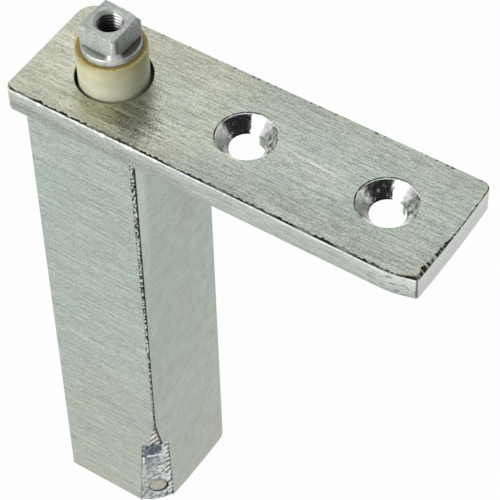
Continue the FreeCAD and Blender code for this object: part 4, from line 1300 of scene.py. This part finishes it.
class HINGE_OT_inner_pieces(bpy.types.Operator):
    """Make the spring that winds with the spindle, and finish the plug, washer and cup inside the barrel"""

    bl_idname = "hinge.inner_pieces"
    bl_label = "Inner Pieces"

    def execute(self, context):
        looks = context.scene.hinge_pin
        wire = self.clouded("oiled_wire", looks.spring, 0.6, 0.8, 1.6, Metallic=0.9, Roughness=0.38)
        nylon = self.clouded("inner_nylon", looks.nylon, 0.3, 0.85, 1.05, Roughness=0.45)
        self.spring(context, looks, wire)
        finishes = {
            "anchor_plug": turned_steel(looks, context.scene.hinge_plate),
            "thrust_washer": nylon,
            "thrust_cup": nylon,
        }
        for node, finish in finishes.items():
            for slot in frame["nodes"][node].material_slots:
                slot.material = finish
        return {"FINISHED"}

    def clouded(self, name, tone, cells, dark, light, **surface):
        """A plain finish that varies a little from place to place."""
        finish = Finish(name)
        cloud = finish.grain((cells, cells, cells), detail=3.0)
        finish.set(Base_Color=finish.shade(tone, finish.span(cloud, 0.3, 0.7, dark, light)), **surface)
        return finish.material

    def spring(self, context, looks, wire):
        """Coil whose lower tang stays in the plug while the upper one turns with the spindle."""
        mesh = frame["nodes"]["torsion_spring"].data.copy()
        mesh.materials.clear()
        mesh.materials.append(wire)
        coil = bpy.data.objects.new("closing_spring", mesh)
        context.collection.objects.link(coil)
        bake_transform(coil)
        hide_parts("torsion_spring")


class HINGE_OT_studio(bpy.types.Operator):
    """Make the white floor, the lamps and the camera"""

    bl_idname = "hinge.studio"
    bl_label = "Studio"

    # Half of the floor's side, its paint, and how much of it shows as plain white
    floor_half = 0.6
    floor_paint = (0.9, 0.9, 0.9)
    floor_white = 0.97
    # Dim sides of the sky: direction, degrees off it where each begins and is full, what is left of the
    # light, and the heights below which metal mirrors none of it and above which all of it
    dim_sides = (
        ((0.83, -0.32, 0.46), 58, 40, 0.02, 0.22, 0.36),
        ((-0.98, 0.05, -0.05), 34, 12, 0.25, -2.0, -1.5),
    )
    # Sides and places of the lamps, and the place that both face
    key_side, key_place = 0.40, Vector((-0.09, -0.61, 0.26))
    fill_side, fill_place = 0.60, Vector((-0.10, 0.15, 0.75))
    lamp_aim = Vector((0.02, 0.0, -0.05))
    # Camera's sensor in millimetres, and the nearest and farthest things it sees
    sensor = 36.0
    nearest, farthest = 0.01, 20.0

    def execute(self, context):
        scene, looks = context.scene, context.scene.hinge_studio
        scene.view_settings.view_transform = "Standard"
        self.floor(scene)
        self.world(scene, looks)
        self.lamp(scene, "key_lamp", looks.key, self.key_side, self.key_place)
        self.lamp(scene, "fill_lamp", looks.fill, self.fill_side, self.fill_place)
        self.camera(scene, looks)
        return {"FINISHED"}

    def emptied(self, owner):
        """Nodes of a material or a world, with none in them."""
        owner.use_nodes = True
        owner.node_tree.nodes.clear()
        return Nodes(owner.node_tree)

    def floor(self, scene):
        """White floor that keeps a soft shadow."""
        mesh = bpy.data.meshes.new("floor")
        half, level = self.floor_half, barrel_low.z * MM
        corners = [(-half, -half, level), (half, -half, level), (half, half, level), (-half, half, level)]
        mesh.from_pydata(corners, [], [(0, 1, 2, 3)])
        material = bpy.data.materials.new("white_floor")
        nodes = self.emptied(material)
        white = nodes.work("MULTIPLY", nodes.seen(), self.floor_white)
        paint = nodes.node("BsdfDiffuse", "BSDF", {"Color": self.floor_paint})
        glow = nodes.node("Emission", "Emission", {"Strength": 1.0})
        nodes.show("Material", nodes.node("MixShader", "Shader", {0: white, 1: paint, 2: glow}))
        mesh.materials.append(material)
        floor = bpy.data.objects.new("floor", mesh)
        scene.collection.objects.link(floor)

    def world(self, scene, looks):
        """Even white light with a dark side at the right and a dull one low at the left."""
        world = bpy.data.worlds.new("studio")
        nodes = self.emptied(world)
        way_out = nodes.place("Generated")
        height = nodes.node("SeparateXYZ", "Z", {"Vector": way_out})
        strength = nodes.span(nodes.seen(), 0.0, 1.0, looks.sky, 1.0)
        for way, wide, narrow, dark, low, high in self.dim_sides:
            facing = nodes.vector("DOT_PRODUCT", way_out, Vector(way).normalized())
            dim = nodes.span(facing, math.cos(math.radians(wide)), math.cos(math.radians(narrow)), 1.0, dark,
                             interpolation_type="SMOOTHSTEP")
            mirrored = nodes.work("MULTIPLY", nodes.span(height, low, high, 1.0, 0.0), nodes.ray("Glossy"))
            lit = nodes.work("MAXIMUM", dim, nodes.ray("Camera"), mirrored)
            strength = nodes.work("MULTIPLY", strength, lit)
        white = {"Color": (1.0, 1.0, 1.0), "Strength": strength}
        nodes.show("World", nodes.node("Background", "Background", white))
        scene.world = world

    def lamp(self, scene, name, power, side, place):
        """Square soft lamp."""
        data = bpy.data.lights.new(name, "AREA")
        data.energy = power
        data.size = side
        lamp = bpy.data.objects.new(name, data)
        lamp.location = place
        lamp.rotation_euler = (self.lamp_aim - place).to_track_quat("-Z", "Y").to_euler()
        scene.collection.objects.link(lamp)

    def camera(self, scene, looks):
        """Camera at the viewing angle of the photograph."""
        data = bpy.data.cameras.new("camera")
        data.sensor_width = self.sensor
        data.lens = looks.lens
        data.clip_start, data.clip_end = self.nearest, self.farthest
        camera = bpy.data.objects.new("camera", data)
        eye, aim = Vector(looks.eye), Vector(looks.aim)
        look = (aim - eye).to_track_quat("-Z", "Y").to_matrix().to_4x4()
        camera.matrix_world = Matrix.Translation(eye) @ look @ Matrix.Rotation(looks.roll, 4, "Z")
        scene.collection.objects.link(camera)
        scene.camera = camera


OPERATORS = (
    HINGE_OT_mounting_plate,
    HINGE_OT_housing,
    HINGE_OT_bushing,
    HINGE_OT_spindle,
    HINGE_OT_anchor_pin,
    HINGE_OT_inner_pieces,
    HINGE_OT_studio,
)


class HINGE_PT_pieces(bpy.types.Panel):
    """List of the hinge's pieces"""

    bl_idname = "HINGE_PT_pieces"
    bl_label = "Spring Hinge"
    bl_space_type = "VIEW_3D"
    bl_region_type = "UI"
    bl_category = "Hinge"

    def draw(self, context):
        for operator in OPERATORS:
            self.layout.operator(operator.bl_idname)
        for name, group in LOOKS.items():
            column = self.layout.column(heading=group.__doc__)
            for field in group.__annotations__:
                column.prop(getattr(context.scene, name), field)


def register():
    for group in LOOKS.values():
        bpy.utils.register_class(group)
    for name, group in LOOKS.items():
        setattr(bpy.types.Scene, name, PointerProperty(type=group))
    for operator in OPERATORS:
        bpy.utils.register_class(operator)
    bpy.utils.register_class(HINGE_PT_pieces)


def unregister():
    bpy.utils.unregister_class(HINGE_PT_pieces)
    for operator in reversed(OPERATORS):
        bpy.utils.unregister_class(operator)
    for name, group in LOOKS.items():
        delattr(bpy.types.Scene, name)
        bpy.utils.unregister_class(group)


def main():
    register()
    bpy.ops.hinge.mounting_plate()
    bpy.ops.hinge.housing()
    bpy.ops.hinge.bushing()
    bpy.ops.hinge.spindle()
    bpy.ops.hinge.anchor_pin()
    bpy.ops.hinge.inner_pieces()
    bpy.ops.hinge.studio()


if __name__ == "__main__":
    main()
